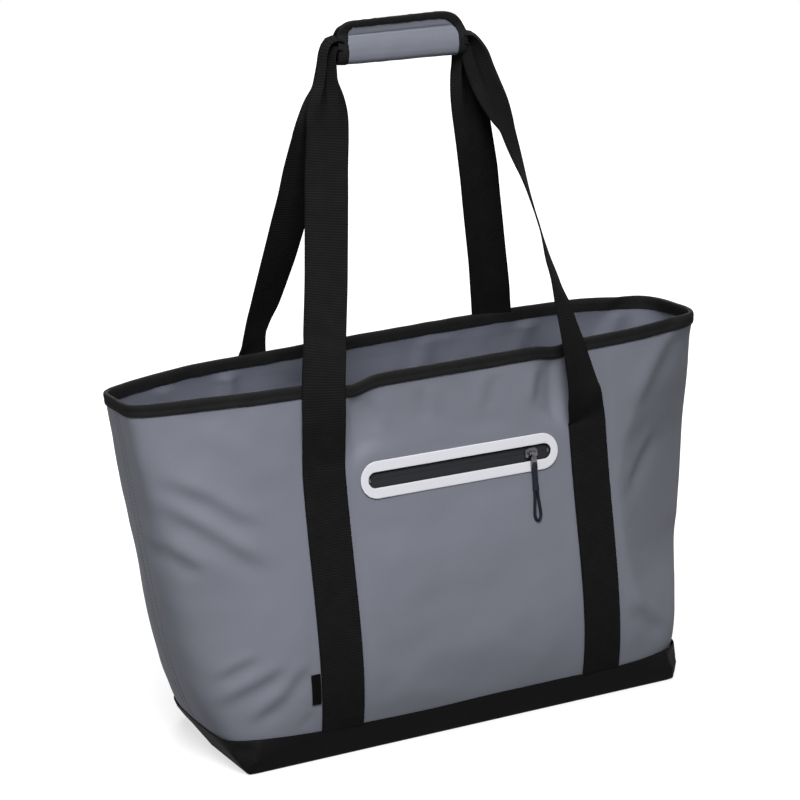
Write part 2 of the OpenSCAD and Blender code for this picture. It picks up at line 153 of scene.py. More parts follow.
class BagColours(PropertyGroup):
    """Colours of the finishes."""
    tarpaulin: colour_prop("Coated cloth", "Slate coated cloth of the panels", (118, 121, 131))
    # The inner facing is the slate cloth darkened: painted shade inside the mouth
    inner: colour_prop("Inner facing", "Coated cloth inside the mouth", (88, 91, 101))
    boot: colour_prop("Boot", "Black coated cloth of the boot", (19, 19, 20))
    webbing: colour_prop("Webbing", "Woven webbing", (25, 25, 26))
    binding: colour_prop("Binding", "Edge binding", (33, 33, 34))
    lining: colour_prop("Lining", "Pale heat-sealed lining", (214, 217, 220))
    foam: colour_prop("Foam", "Closed-cell foam", (226, 226, 220))
    board: colour_prop("Board", "Base board", (34, 34, 36))
    reflective: colour_prop("Reflective film", "Film round the pocket", (218, 218, 224))
    zip_tape: colour_prop("Zip tape", "Coated zip tape", (46, 47, 50))
    metal: colour_prop("Zip metal", "Dark plated zip parts", (132, 132, 136))
    cord: colour_prop("Pull cord", "Cord and sleeve of the pull", (34, 37, 46))


def sizes():
    return bpy.context.scene.bag_sizes


def colours():
    return bpy.context.scene.bag_colours


# Shape of the bag

# Folds of the front panel as (length, height) stations in millimetres, depth, width
FRONT_FOLDS = (
    (((-270, 259), (-251, 248), (-227, 235), (-203, 217), (-178, 204)), 2.3, 7),
    (((-272, 243), (-262, 234), (-247, 220), (-229, 207), (-207, 190), (-174, 166)), 2.6, 7),
    (((-264, 204), (-254, 191), (-245, 184), (-230, 172)), 2.0, 6),
    (((-238, 291), (-209, 270), (-183, 252)), 1.3, 12),
    (((-231, 78), (-215, 91), (-192, 102)), 1.5, 5),
    (((-232, 52), (-214, 68), (-193, 79), (-168, 92)), 2.0, 6),
    (((-211, 34), (-194, 51), (-177, 64), (-164, 80), (-146, 91)), 2.0, 6),
    (((-168, 30), (-153, 49)), 1.2, 5),
    (((240, 312), (207, 277), (186, 251), (178, 240)), 2.6, 10),
    (((224, 229), (190, 201), (175, 186), (154, 174)), 2.0, 8),
    (((153, 87), (182, 65), (209, 44)), 1.8, 7),
    (((-79, 306), (-74, 288), (-70, 270)), 1.3, 5),
    (((-31, 304), (-27, 288), (-24, 272)), 1.0, 6),
    (((32, 305), (30, 288), (26, 272)), 1.1, 6),
    (((85, 306), (80, 288), (76, 268)), 1.4, 5),
    (((-60, 150), (0, 128), (66, 140)), 0.8, 22),
)
BACK_FOLDS = (
    (((262, 248), (240, 236), (212, 216), (184, 206)), 2.2, 7),
    (((258, 214), (236, 196), (206, 176), (178, 168)), 2.4, 7),
    (((232, 62), (208, 76), (176, 94)), 1.9, 6),
    (((206, 36), (186, 56), (162, 76)), 1.8, 6),
    (((-244, 300), (-214, 270), (-184, 246)), 2.2, 9),
    (((-226, 214), (-196, 196), (-160, 176)), 1.9, 7),
    (((-158, 86), (-186, 64), (-208, 44)), 1.8, 6),
    (((-82, 306), (-76, 284), (-72, 262)), 1.4, 6),
    (((12, 305), (16, 284), (14, 262)), 1.1, 7),
    (((74, 306), (70, 286), (64, 266)), 1.3, 6),
    (((-86, 236), (-30, 216), (40, 222), (88, 240)), 1.0, 20),
    (((-70, 112), (0, 96), (72, 108)), 0.9, 20),
)
# Dents beside the straps at the rim: length, height, depth, half length, half height, rim dip
FRONT_DENTS = ((-97, 285, 6.0, 20, 32, 6.0), (99, 280, 7.0, 17, 36, 3.0))
BACK_DENTS = ((-98, 288, 3.0, 20, 30, 0.0), (101, 286, 3.0, 20, 30, 0.0))

# Height of the soft rim over its plain height along the front and the back: length and rise in millimetres
FRONT_RIM = ((-282, -4.5), (-224, -1.7), (-120, 0.0), (0, 1.5), (120, 3.5), (250, 6.0), (282, 6.5))
BACK_RIM = ((-282, -3.5), (-200, 0.0), (-120, 1.0), (0, 4.5), (120, 8.0), (200, 9.0), (250, 7.5), (282, 6.5))
# Line on the front where the panel turns away toward the right end, in millimetres
END_TURN = ((252, 320), (240, 312), (207, 277), (186, 251), (172, 225), (160, 190), (162, 150), (170, 100),
            (190, 50))
# How far the right end stands out at each height, in millimetres
END_REACH = ((40, 0), (80, 5.5), (130, 7), (166, 5), (200, 2.6), (235, -0.5), (270, -5.5), (300, -11),
             (320, -17))
# Left end of the rim: how much squarer it is, how far it is pressed flat and where that begins
LEFT_BLUNT, LEFT_PRESS, LEFT_START = 4.0, 0.42, 0.150
# Belly of the panels: how fast it falls off toward the rim, and the largest value of that curve
BELLY_FALL, BELLY_PEAK = 2.85, 0.1102
# Foam at the rim: how far it is pressed together, over which height and how far below the rim
FOAM_PRESSED, PRESS_HEIGHT, PRESS_BELOW = 0.00616, 0.034, 0.046


class Shell:
    """Outline of the bag at every height, shared by all layers, with the slack of the cloth."""

    def __init__(self, sharp=0.0):
        s = sizes()
        self.sharp = sharp
        self.height, self.belly, self.slack = s.height, s.belly, s.slack
        self.mouth, self.base = (s.mouth_length, s.mouth_depth), (s.base_length, s.base_depth)
        self.strap_x, self.web, self.boot = s.strap_x, s.web_width, s.boot_height
        self.pocket_z, self.pocket_half = s.pocket_height, s.pocket_length / 2

    def outline(self, z):
        """Half length, half depth and squareness at a height."""
        t = np.clip(np.asarray(z, float) / self.height, 0.0, 1.0)
        bulge = 0.6 * t + 0.4 * (1 - (1 - t) ** 6.5)
        a = self.base[0] / 2 + (self.mouth[0] - self.base[0]) / 2 * bulge
        b = self.base[1] / 2 + (self.mouth[1] - self.base[1]) / 2 * t
        b = b + self.belly * t * (1 - t) ** BELLY_FALL / BELLY_PEAK
        return a, b, 3.2 + 3.8 * (1 - t) ** 8 + 7 * (1 - t) ** 40 + self.sharp * (1 - t) ** 60

    def pressed(self, z):
        """How much of the foam is pressed away toward the rim."""
        return FOAM_PRESSED * smooth((z - self.height + PRESS_BELOW) / PRESS_HEIGHT)

    def behind(self, depth):
        """Depth of a layer behind the foam, less where the foam is pressed."""
        return lambda points: depth - self.pressed(points[..., 2])

    @staticmethod
    def skew(x, y, z):
        """Shift of the ends: the left back corner is tucked in low down, the right end drawn in higher up."""
        left = smooth((-x - 0.10) / 0.09) * np.clip(y / 0.067, 0, 1.15)
        right = smooth((x - 0.17) / 0.09) * np.interp(z, *(np.array(END_REACH).T * MM))
        return left * (0.0045 * np.clip(1 - z / 0.03, 0, 1) + 0.0038 * np.clip(1 - z / 0.2, 0, 1)) + right

    @staticmethod
    def pinch(x, z, a):
        """Share by which the ends are pressed flat, and its change along the length: the right end is pressed
        low down and spread at its blunt rim, the left one is pressed only at the rim."""
        right = 0.76 * smooth((z - 0.035) / 0.09) * (1 - smooth((z - 0.2) / 0.12))
        right = right - 0.4 * smooth((z - 0.295) / 0.025)
        turn = float(np.interp(z, *(np.array(END_TURN[::-1]).T * MM)[::-1])) - 0.008
        most = np.where(x > 0, right, LEFT_PRESS * Shell.at_rim(z))
        start = np.where(x > 0, turn, LEFT_START)
        s = np.clip((np.abs(x) - start) / (a - start), 0, 1)
        soft = np.sqrt(s ** 2 + 0.0064)
        return most * (soft - 0.08), np.sign(x) * most * s / soft / (a - start)

    @staticmethod
    def at_rim(z):
        """0 halfway up, 1 at the rim."""
        return float(smooth((z - 0.15) / 0.17))

    def half_ring(self, z, side, count):
        """Points from left to right on one half of the outline, closer at the ends, their plan normals and
        their distance along it from the middle."""
        a, b, n = (float(v) for v in self.outline(z))

        def square(x):
            """Squareness, more at the left end of the rim."""
            return n + LEFT_BLUNT * self.at_rim(z) * smooth((-x - LEFT_START) / 0.06)

        u = np.linspace(0.0, np.pi, 900)
        u = np.pi / 2 - np.pi / 2 * power(np.cos(u), 0.8)
        x = -a * power(np.cos(u), 2 / n)
        k = square(x)
        y = b * np.clip(1 - (np.abs(x) / a) ** k, 0, 1) ** (1 / k)
        y[0] = y[-1] = 0.0
        run = lengths(np.column_stack([x, y]))
        turned = (y / b) ** (k - 1) / b >= (np.abs(x) / a) ** (k - 1) / a
        first, last = run[np.argmax(turned)], run[::-1][np.argmax(turned[::-1])]
        end = int(count * 0.135)
        even = np.interp(np.arange(count), [0, end, count - 1 - end, count - 1], [0.0, first, last, run[-1]])
        x, y = np.interp(even, run, x), np.interp(even, run, y)
        k = square(x)
        p = np.sign(x) * (np.abs(x) / a) ** (k - 1) / a
        q = (y / b) ** (k - 1) / b
        pinch, slope = self.pinch(x, z, a)
        p, y = p * (1 - pinch) + q * slope * y, y * (1 - pinch)
        m = np.hypot(p, q)
        points = np.column_stack([x + self.skew(x, side * y, z), side * y, np.full(count, z)])
        normals = np.column_stack([p / m, side * q / m, np.zeros(count)])
        return points, normals, even - run[-1] / 2

    def face(self, x, z, side):
        """Points on one face at lengths x and heights z, and their plan normals."""
        x, z = np.broadcast_arrays(np.asarray(x, float), np.asarray(z, float))
        a, b, n = self.outline(z)
        f = np.clip(np.abs(x) / a, 0.0, 1.0)
        y = b * (1 - f ** n) ** (1 / n)
        p, q = np.sign(x) * f ** (n - 1) / a, (y / b) ** (n - 1) / b
        m = np.hypot(p, q)
        points = np.stack([x, side * y, z], -1)
        return points, np.stack([p / m, side * q / m, np.zeros_like(x)], -1)

    def lift(self, points):
        """Rise of the soft rim: it climbs to one end and dips beside the straps."""
        x, y, z = points[..., 0], points[..., 1], points[..., 2]
        t = np.clip(z / self.height, 0.0, 1.02)
        side = np.clip(y / 0.05, -1.0, 1.0)
        front, back = (np.interp(x, *(np.array(line).T * MM)) for line in (FRONT_RIM, BACK_RIM))
        rise = (front * (1 - side) + back * (1 + side)) / 2 * t ** 3
        for dents, sign in ((FRONT_DENTS, -1), (BACK_DENTS, 1)):
            for at, _, _, half, _, dip in dents:
                rise = rise - dip * MM * np.exp(-((x - at * MM) / (0.8 * half * MM)) ** 2) * \
                    np.clip(sign * side, 0, 1) * smooth((t - 0.72) / 0.28)
        return rise * self.slack

    def relief(self, points):
        """How far the cloth stands out of its plain outline."""
        x, y, z = points[..., 0], points[..., 1], points[..., 2]
        out = np.zeros(x.shape)
        for side, folds, dents in ((-1, FRONT_FOLDS, FRONT_DENTS), (1, BACK_FOLDS, BACK_DENTS)):
            here = np.clip(side * y / 0.02, 0.0, 1.0)
            if not np.any(here > 0):
                continue
            for stations, depth, width in folds:
                near, along = self._fold_distance(x, z, np.array(stations, float) * MM)
                fade = smooth(np.minimum(along, 1 - along) / 0.35)
                off = near / (width * MM)
                form = off * np.exp(0.5 - off ** 2 / 2) - 0.45 * np.exp(-off ** 2 / 0.7)
                out += here * 0.62 * depth * MM * form * fade
            for at, high, depth, half, tall, _ in dents:
                out -= here * depth * MM * np.exp(-((x - at * MM) / (half * MM)) ** 2
                                                  - ((z - high * MM) / (tall * MM)) ** 2)
        out = out + (bumps(points, 16.0) * 1.5 + bumps(points, 45.0, (7, 3, 1)) * 0.45) * MM
        strap = smooth((np.abs(np.abs(x) - self.strap_x) - self.web / 2 - 0.002) / 0.012)
        pocket = smooth((np.hypot(np.clip(np.abs(x) - self.pocket_half + 0.0175, 0, None), z - self.pocket_z)
                         - 0.0195) / 0.016)
        pocket = np.where(y < 0, pocket, 1.0)
        low = smooth((z - self.boot - 0.002) / 0.022)
        seam = smooth((np.abs(y) - 0.004) / 0.010)
        rim = 1 - 0.75 * smooth((z - self.height + 0.018) / 0.012)
        return out * low * pocket * seam * rim * np.where(out > 0, strap, 0.3 + 0.7 * strap) * self.slack

    @staticmethod
    def _fold_distance(x, z, line):
        """Distance above (or below, negative) a fold's line and how far along it the nearest point is."""
        near, along = np.full(x.shape, 1e9), np.zeros(x.shape)
        steps = np.hypot(*np.diff(line, axis=0).T)
        total, done = steps.sum(), 0.0
        for (x0, z0), (x1, z1), step in zip(line[:-1], line[1:], steps):
            k = np.clip(((x - x0) * (x1 - x0) + (z - z0) * (z1 - z0)) / step ** 2, 0.0, 1.0)
            d = np.hypot(x - x0 - k * (x1 - x0), z - z0 - k * (z1 - z0))
            above = np.sign(((x1 - x0) * (z - z0) - (z1 - z0) * (x - x0)) * (x1 - x0))
            along = np.where(d < np.abs(near), (done + k * step) / total, along)
            near, done = np.where(d < np.abs(near), d * above, near), done + step
        return near, along

    def slacken(self, points, normals, inset, share=1.0):
        """Points moved inward by inset and with the cloth; share is how much of a dent shows where it can."""
        move = self.relief(points)
        room = np.where(inset < 0, 1.0, np.clip(0.6 * inset - 0.002, 0, None))
        move = np.where(move < 0, np.minimum(move * share, move + room), move)
        made = points + normals * (move - inset)[..., None]
        made[..., 2] += self.lift(points)
        return made

    def rings(self, side, heights, count):
        """Points, plan normals and distances along the outline on one half of the wall, in rows."""
        return (np.array(part) for part in zip(*(self.half_ring(z, side, count) for z in heights)))

    def wall(self, side, inset, heights, count, share=1.0):
        """Grid of points on one half of the wall, at a depth, and its flat coordinates."""
        points, normals, run = self.rings(side, heights, count)
        depth = inset(points) if callable(inset) else np.full(points.shape[:2], inset)
        return self.slacken(points, normals, depth, share), np.stack([run, points[..., 2]], -1)

    def girths(self, heights, count):
        """Length of one half of the outline at each height."""
        return np.array([np.ptp(self.half_ring(z, -1, count)[2]) for z in heights])

    def loop(self, z, inset, count):
        """Closed line round the bag at a height and depth, from the left end, its outline and normals."""
        front, front_normals, _ = self.half_ring(z, -1, count)
        back, back_normals, _ = self.half_ring(z, 1, count)
        points = np.concatenate([front, back[-2:0:-1]])
        normals = np.concatenate([front_normals, back_normals[-2:0:-1]])
        return points - normals * inset, points, normals


# Mesh helpers

def put(name, data):
    """Object of a mesh or another kind of data, linked to the scene."""
    made = bpy.data.objects.new(name, data)
    bpy.context.scene.collection.objects.link(made)
    return made


def plain_mesh(name, points, faces, edges=()):
    mesh = bpy.data.meshes.new(name)
    mesh.from_pydata([tuple(map(float, p)) for p in points], edges, faces)
    return mesh


def evaluated_mesh(piece):
    """Plain mesh of an object with its modifiers."""
    bpy.context.view_layer.update()
    done = piece.evaluated_get(bpy.context.evaluated_depsgraph_get())
    return bpy.data.meshes.new_from_object(done)


def new_piece(name, points, faces, flat, angle=40.0):
    """Mesh object from points and faces, with flat coordinates for each face corner."""
    mesh = plain_mesh(name, points, faces)
    layer = mesh.uv_layers.new(name="cloth")
    layer.data.foreach_set("uv", np.asarray(flat, float).ravel())
    tidy_mesh(mesh, angle)
    return put(name, mesh)


def tidy_mesh(mesh, angle):
    """Drops empty faces, points faces outward and shades smooth below an angle."""
    bm = bmesh.new()
    bm.from_mesh(mesh)
    bmesh.ops.remove_doubles(bm, verts=bm.verts, dist=1e-6)
    bmesh.ops.dissolve_degenerate(bm, edges=bm.edges, dist=1e-7)
    bmesh.ops.recalc_face_normals(bm, faces=bm.faces)
    for face in bm.faces:
        face.smooth = True
    bm.to_mesh(mesh)
    bm.free()
    mesh.set_sharp_from_angle(angle=math.radians(angle))


def skin(name, grid, flat, around=False, caps=False, angle=40.0):
    """Mesh over a grid of points; around joins the last column to the first, caps closes both end rows."""
    grid = np.asarray(grid)
    rows, cols = grid.shape[:2]
    faces, corners = [], []
    for r in range(rows - 1):
        for c in range(cols if around else cols - 1):
            d = (c + 1) % cols
            faces.append((r * cols + c, r * cols + d, (r + 1) * cols + d, (r + 1) * cols + c))
            corners += [flat[r][c], flat[r][c + 1], flat[r + 1][c + 1], flat[r + 1][c]]
    if caps:
        for r, order in ((0, range(cols - 1, -1, -1)), (rows - 1, range(cols))):
            faces.append(tuple(r * cols + c for c in order))
            corners += [flat[r][c] for c in order]
    return new_piece(name, grid.reshape(-1, 3), faces, corners, angle)


def slab(name, outer, inner, flat, angle=40.0):
    """Closed sheet between two grids of the same size."""
    rows, cols = outer.shape[:2]
    count = rows * cols
    faces, corners = [], []

    def add(*ids):
        faces.append(ids)
        corners.extend(flat[(i % count) // cols][(i % count) % cols] for i in ids)

    for r in range(rows - 1):
        for c in range(cols - 1):
            i = r * cols + c
            add(i, i + 1, i + cols + 1, i + cols)
            add(count + i, count + i + cols, count + i + cols + 1, count + i + 1)
    for c in range(cols - 1):
        add(c, count + c, count + c + 1, c + 1)
        i = (rows - 1) * cols + c
        add(i, i + 1, count + i + 1, count + i)
    for r in range(rows - 1):
        i = r * cols
        add(i, i + cols, count + i + cols, count + i)
        i = r * cols + cols - 1
        add(i, count + i, count + i + cols, i + cols)
    points = np.concatenate([outer.reshape(-1, 3), inner.reshape(-1, 3)])
    return new_piece(name, points, faces, corners, angle)


def curve_through(stations, count):
    """Smooth line through stations of any number of values, at equal steps of its first three."""
    p = np.asarray(stations, float)
    ends = np.concatenate([[2 * p[0] - p[1]], p, [2 * p[-1] - p[-2]]])
    made = []
    for i in range(len(p) - 1):
        a, b, c, d = ends[i:i + 4]
        for t in np.linspace(0, 1, 24, endpoint=False):
            made.append(0.5 * (2 * b + (c - a) * t + (2 * a - 5 * b + 4 * c - d) * t ** 2
                               + (3 * b - a - 3 * c + d) * t ** 3))
    made = np.array(made + [p[-1]])
    run = lengths(made[:, :3])
    even = np.linspace(0, run[-1], count)
    return np.column_stack([np.interp(even, run, made[:, k]) for k in range(made.shape[1])])


def ribbon(name, path, across, widths, thick):
    """Webbing along a path: a flat band with rounded edges that can pleat where it is gathered."""
    path, across = np.asarray(path), unit(np.asarray(across))
    along = unit(np.gradient(path, axis=0))
    across = unit(across - along * np.sum(across * along, axis=1)[:, None])
    out = np.cross(along, across)
    flat_u = np.linspace(-1, 1, 9)
    edge = [(1.0, 0.55), (1.0, 0.0), (1.0, -0.55)]
    profile = [(u * 0.985, 1.0) for u in flat_u] + edge + [(u * 0.985, -1.0) for u in flat_u[::-1]] + \
              [(-u, -v) for u, v in edge]
    run = lengths(path)
    grid, flat = [], []
    full = max(widths)
    for i, p in enumerate(path):
        half = widths[i] / 2
        rise = math.sqrt(max(0.0, 1 - (widths[i] / full) ** 2)) * full / 2 * 0.30
        row = []
        for u, v in profile:
            bend = math.cos(2 * math.pi * u) * rise * 0.8
            row.append(p + across[i] * half * u + out[i] * (v * thick / 2 + bend))
        grid.append(row)
        flat.append([(u * full / 2, run[i]) for u, v in profile] + [(profile[0][0] * full / 2, run[i])])
    return skin(name, grid, flat, around=True, caps=True)


def tube(name, path, radius, sides):
    """Round tube along a path."""
    along = unit(np.gradient(path, axis=0))
    side = np.cross(along[0], (0.31, 0.57, 0.76))
    rows = []
    for point, ahead in zip(path, along):
        side = unit(side - ahead * np.dot(side, ahead))
        up = np.cross(ahead, side)
        rows.append([point + radius * (math.cos(t) * side + math.sin(t) * up) for t in turns(sides)])
    flat = [[(k / sides * 2 * math.pi * radius, run) for k in range(sides + 1)] for run in lengths(path)]
    return skin(name, rows, flat, around=True, caps=True)


class Solids:
    """Collects bevelled solids of one hard piece in its own local frame, or in the frame of the bag."""

    def __init__(self, place=lambda *at: at):
        self.place, self.points, self.faces = place, [], []

    def ring(self, outline, depth, order):
        """Adds the points of an outline; order says which local axes the outline and the depth use."""
        for point in outline:
            local = dict(zip(order, (*point, depth)))
            self.points.append(self.place(local["u"], local["v"], local["w"]))

    def prism(self, outline, low, high, order="uvw"):
        """Prism over an outline."""
        n, base = len(outline), len(self.points)
        self.ring(outline, low, order)
        self.ring(outline, high, order)
        self.faces.append(tuple(base + i for i in range(n - 1, -1, -1)))
        self.faces.append(tuple(base + n + i for i in range(n)))
        for i in range(n):
            j = (i + 1) % n
            self.faces.append((base + i, base + j, base + n + j, base + n + i))

    def frame(self, outer, inner, low, high, order):
        """Flat plate with a hole; both outlines have the same number of points."""
        n, base = len(outer), len(self.points)
        for depth, outline in ((low, outer), (low, inner), (high, outer), (high, inner)):
            self.ring(outline, depth, order)
        for i in range(n):
            j = (i + 1) % n
            for a, b in ((0, 1), (1, 3), (3, 2), (2, 0)):
                self.faces.append((base + a * n + i, base + a * n + j, base + b * n + j, base + b * n + i))

    def piece(self, name, bevel, angle=35.0):
        """Mesh object of the solids, with edges sharper than the angle bevelled."""
        mesh = plain_mesh(name, self.points, self.faces)
        bm = bmesh.new()
        bm.from_mesh(mesh)
        bmesh.ops.recalc_face_normals(bm, faces=bm.faces)
        if bevel:
            limit = math.radians(angle)
            sharp = [e for e in bm.edges if len(e.link_faces) == 2 and e.calc_face_angle() > limit]
            bmesh.ops.bevel(bm, geom=sharp, offset=bevel, segments=2, profile=0.6, affect="EDGES",
                            clamp_overlap=True)
        bm.to_mesh(mesh)
        bm.free()
        tidy_mesh(mesh, 50.0)
        return put(name, mesh)


def stadium(length, width, count):
    """Outline with round ends, along the first axis."""
    r, h = width / 2, length / 2 - width / 2
    points = [(h + r * math.cos(t), r * math.sin(t)) for t in np.linspace(-math.pi / 2, math.pi / 2, count)]
    return points + [(-u, -v) for u, v in points]


def wear(piece, body, material, slot, *nodes):
    """Gives a finished piece its material and its body, and hides the nodes that it stands for; the slot is
    not used.
    """
    piece.data.materials.clear()
    piece.data.materials.append(material)
    if body:
        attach(piece, body)
    if nodes:
        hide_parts(*nodes)


# Shader groups and finishes

SOCKETS = {"Vector": "NodeSocketVector", "Colour": "NodeSocketColor"}
# Roughness of a clear coat, ribs of webbing in one column and depth of the soft unevenness
COAT_ROUGHNESS, COLUMN_RIBS, SOFT_DEPTH = 0.35, 2.8, 0.004


def shader_group(name, inputs, outputs):
    """Empty shader group with named inputs, each with its value, and outputs."""
    tree = bpy.data.node_groups.new(name, "ShaderNodeTree")
    for label, value in inputs.items():
        kind = SOCKETS.get(label, "NodeSocketFloat")
        socket = tree.interface.new_socket(label, in_out="INPUT", socket_type=kind)
        if value is not None:
            socket.default_value = value
    for label in outputs:
        kind = SOCKETS.get(label, "NodeSocketFloat")
        tree.interface.new_socket(label, in_out="OUTPUT", socket_type=kind)
    return tree, tree.nodes.new("NodeGroupInput"), tree.nodes.new("NodeGroupOutput")


def link(tree, source, target):
    tree.links.new(source, target)


def feed(tree, socket, value):
    """Gives an input a number, or links another socket to it."""
    if isinstance(value, (int, float)):
        socket.default_value = value
    else:
        link(tree, value, socket)


def fill(node, **values):
    """Sets inputs of a node by name; an underscore stands for a space."""
    for label, value in values.items():
        node.inputs[label.replace("_", " ")].default_value = value


def maths(tree, operation, *values):
    """Maths node with sockets or numbers as its inputs."""
    made = tree.nodes.new("ShaderNodeMath")
    made.operation = operation
    for socket, value in zip(made.inputs, values):
        feed(tree, socket, value)
    return made.outputs[0]


def scaled(tree, colour, share):
    """Colour made darker or lighter by a share."""
    made = tree.nodes.new("ShaderNodeVectorMath")
    made.operation = "SCALE"
    link(tree, colour, made.inputs[0])
    link(tree, share, made.inputs["Scale"])
    return made.outputs[0]


def noise_of(tree, vector, scale, detail):
    """Noise of a vector; its scale is a socket or a number."""
    made = tree.nodes.new("ShaderNodeTexNoise")
    fill(made, Detail=detail)
    link(tree, vector, made.inputs["Vector"])
    feed(tree, made.inputs["Scale"], scale)
    return made.outputs["Fac"]


def split(tree, vector):
    made = tree.nodes.new("ShaderNodeSeparateXYZ")
    link(tree, vector, made.inputs[0])
    return made.outputs


def wave(tree, value, pitch):
    """Sine of a coordinate, one turn for each pitch."""
    return maths(tree, "SINE", maths(tree, "MULTIPLY", maths(tree, "DIVIDE", value, pitch), 2 * math.pi))


def made_once(name):
    """For a function that makes a node group of that name: later calls return the group already made."""
    def once(make):
        return lambda: bpy.data.node_groups.get(name) or make(name)
    return once


@made_once("uneven tone")
def tone_group(name):
    """Uneven colour and gloss: broad patches and fine specks."""
    inputs = {"Vector": None, "Colour": None, "Size": 14.0, "Spread": 0.1, "Roughness": 0.5}
    tree, start, end = shader_group(name, inputs, ("Colour", "Roughness", "Height"))
    vector = start.outputs["Vector"]
    broad = noise_of(tree, vector, start.outputs["Size"], 4.0)
    fine = noise_of(tree, vector, maths(tree, "MULTIPLY", start.outputs["Size"], 42.0), 2.0)
    patches = maths(tree, "SUBTRACT", broad, 0.5)
    specks = maths(tree, "SUBTRACT", fine, 0.5)
    both = maths(tree, "ADD", maths(tree, "MULTIPLY", patches, 1.6), maths(tree, "MULTIPLY", specks, 1.1))
    shade = maths(tree, "ADD", 1.0, maths(tree, "MULTIPLY", both, start.outputs["Spread"]))
    link(tree, scaled(tree, start.outputs["Colour"], shade), end.inputs["Colour"])
    gloss = maths(tree, "ADD", start.outputs["Roughness"], maths(tree, "MULTIPLY", patches, 0.24))
    link(tree, maths(tree, "MINIMUM", maths(tree, "MAXIMUM", gloss, 0.05), 0.98), end.inputs["Roughness"])
    link(tree, maths(tree, "ADD", broad, maths(tree, "MULTIPLY", fine, 0.3)), end.inputs["Height"])
    return tree


@made_once("plain weave")
def weave_group(name):
    """Plain weave pressed into a coating: crossing threads."""
    tree, start, end = shader_group(name, {"Vector": None, "Pitch": 0.0009}, ("Height",))
    x, y, _ = split(tree, start.outputs["Vector"])
    a, b = wave(tree, x, start.outputs["Pitch"]), wave(tree, y, start.outputs["Pitch"])
    link(tree, maths(tree, "ADD", maths(tree, "MULTIPLY", maths(tree, "MULTIPLY", a, b), 0.5), 0.5),
         end.inputs["Height"])
    return tree


@made_once("webbing ribs")
def webbing_group(name):
    """Webbing: cords across in offset columns; the colour is lighter on the ribs and darker between them,
    painted shade of the ribs in random patches, and darker in a band along both edges.
    """
    inputs = {"Vector": None, "Rib": 0.0015, "Column": 0.0042, "Half": 0.019}
    tree, start, end = shader_group(name, inputs, ("Height", "Shade"))
    x, y, _ = split(tree, start.outputs["Vector"])
    column = maths(tree, "POWER", maths(tree, "ABSOLUTE", wave(tree, x, start.outputs["Column"])), 0.5)
    rib = maths(tree, "ADD", maths(tree, "MULTIPLY", wave(tree, y, start.outputs["Rib"]), 0.5), 0.5)
    patchy = noise_of(tree, start.outputs["Vector"], 70.0, 2.0)
    height = maths(tree, "MULTIPLY", rib, maths(tree, "ADD", maths(tree, "MULTIPLY", column, 0.35), 0.65))
    link(tree, height, end.inputs["Height"])
    rim = maths(tree, "DIVIDE", maths(tree, "ABSOLUTE", x), start.outputs["Half"])
    selvedge = maths(tree, "GREATER_THAN", rim, 0.93)
    # Colour scale: lighter on the rib crests and darker in the grooves, painted shade of the ribs, its
    # strength varied in random patches; less along both edges
    shade = maths(tree, "ADD", maths(tree, "MULTIPLY", height, patchy), 0.7)
    link(tree, maths(tree, "SUBTRACT", shade, maths(tree, "MULTIPLY", selvedge, 0.18)), end.inputs["Shade"])
    return tree


@made_once("braid")
def braid_group(name):
    """Braided cord: two sets of crossing strands."""
    tree, start, end = shader_group(name, {"Vector": None, "Pitch": 0.0012}, ("Height",))
    x, y, _ = split(tree, start.outputs["Vector"])
    a = wave(tree, maths(tree, "ADD", x, y), start.outputs["Pitch"])
    b = wave(tree, maths(tree, "SUBTRACT", x, y), start.outputs["Pitch"])
    link(tree, maths(tree, "ADD", maths(tree, "MULTIPLY", maths(tree, "MAXIMUM", a, b), 0.5), 0.5),
         end.inputs["Height"])
    return tree


@made_once("cells")
def cell_group(name):
    """Small cells, as in foam or a beaded film."""
    tree, start, end = shader_group(name, {"Vector": None, "Size": 900.0}, ("Height",))
    cell = tree.nodes.new("ShaderNodeTexVoronoi")
    link(tree, start.outputs["Vector"], cell.inputs["Vector"])
    link(tree, start.outputs["Size"], cell.inputs["Scale"])
    link(tree, cell.outputs["Distance"], end.inputs["Height"])
    return tree


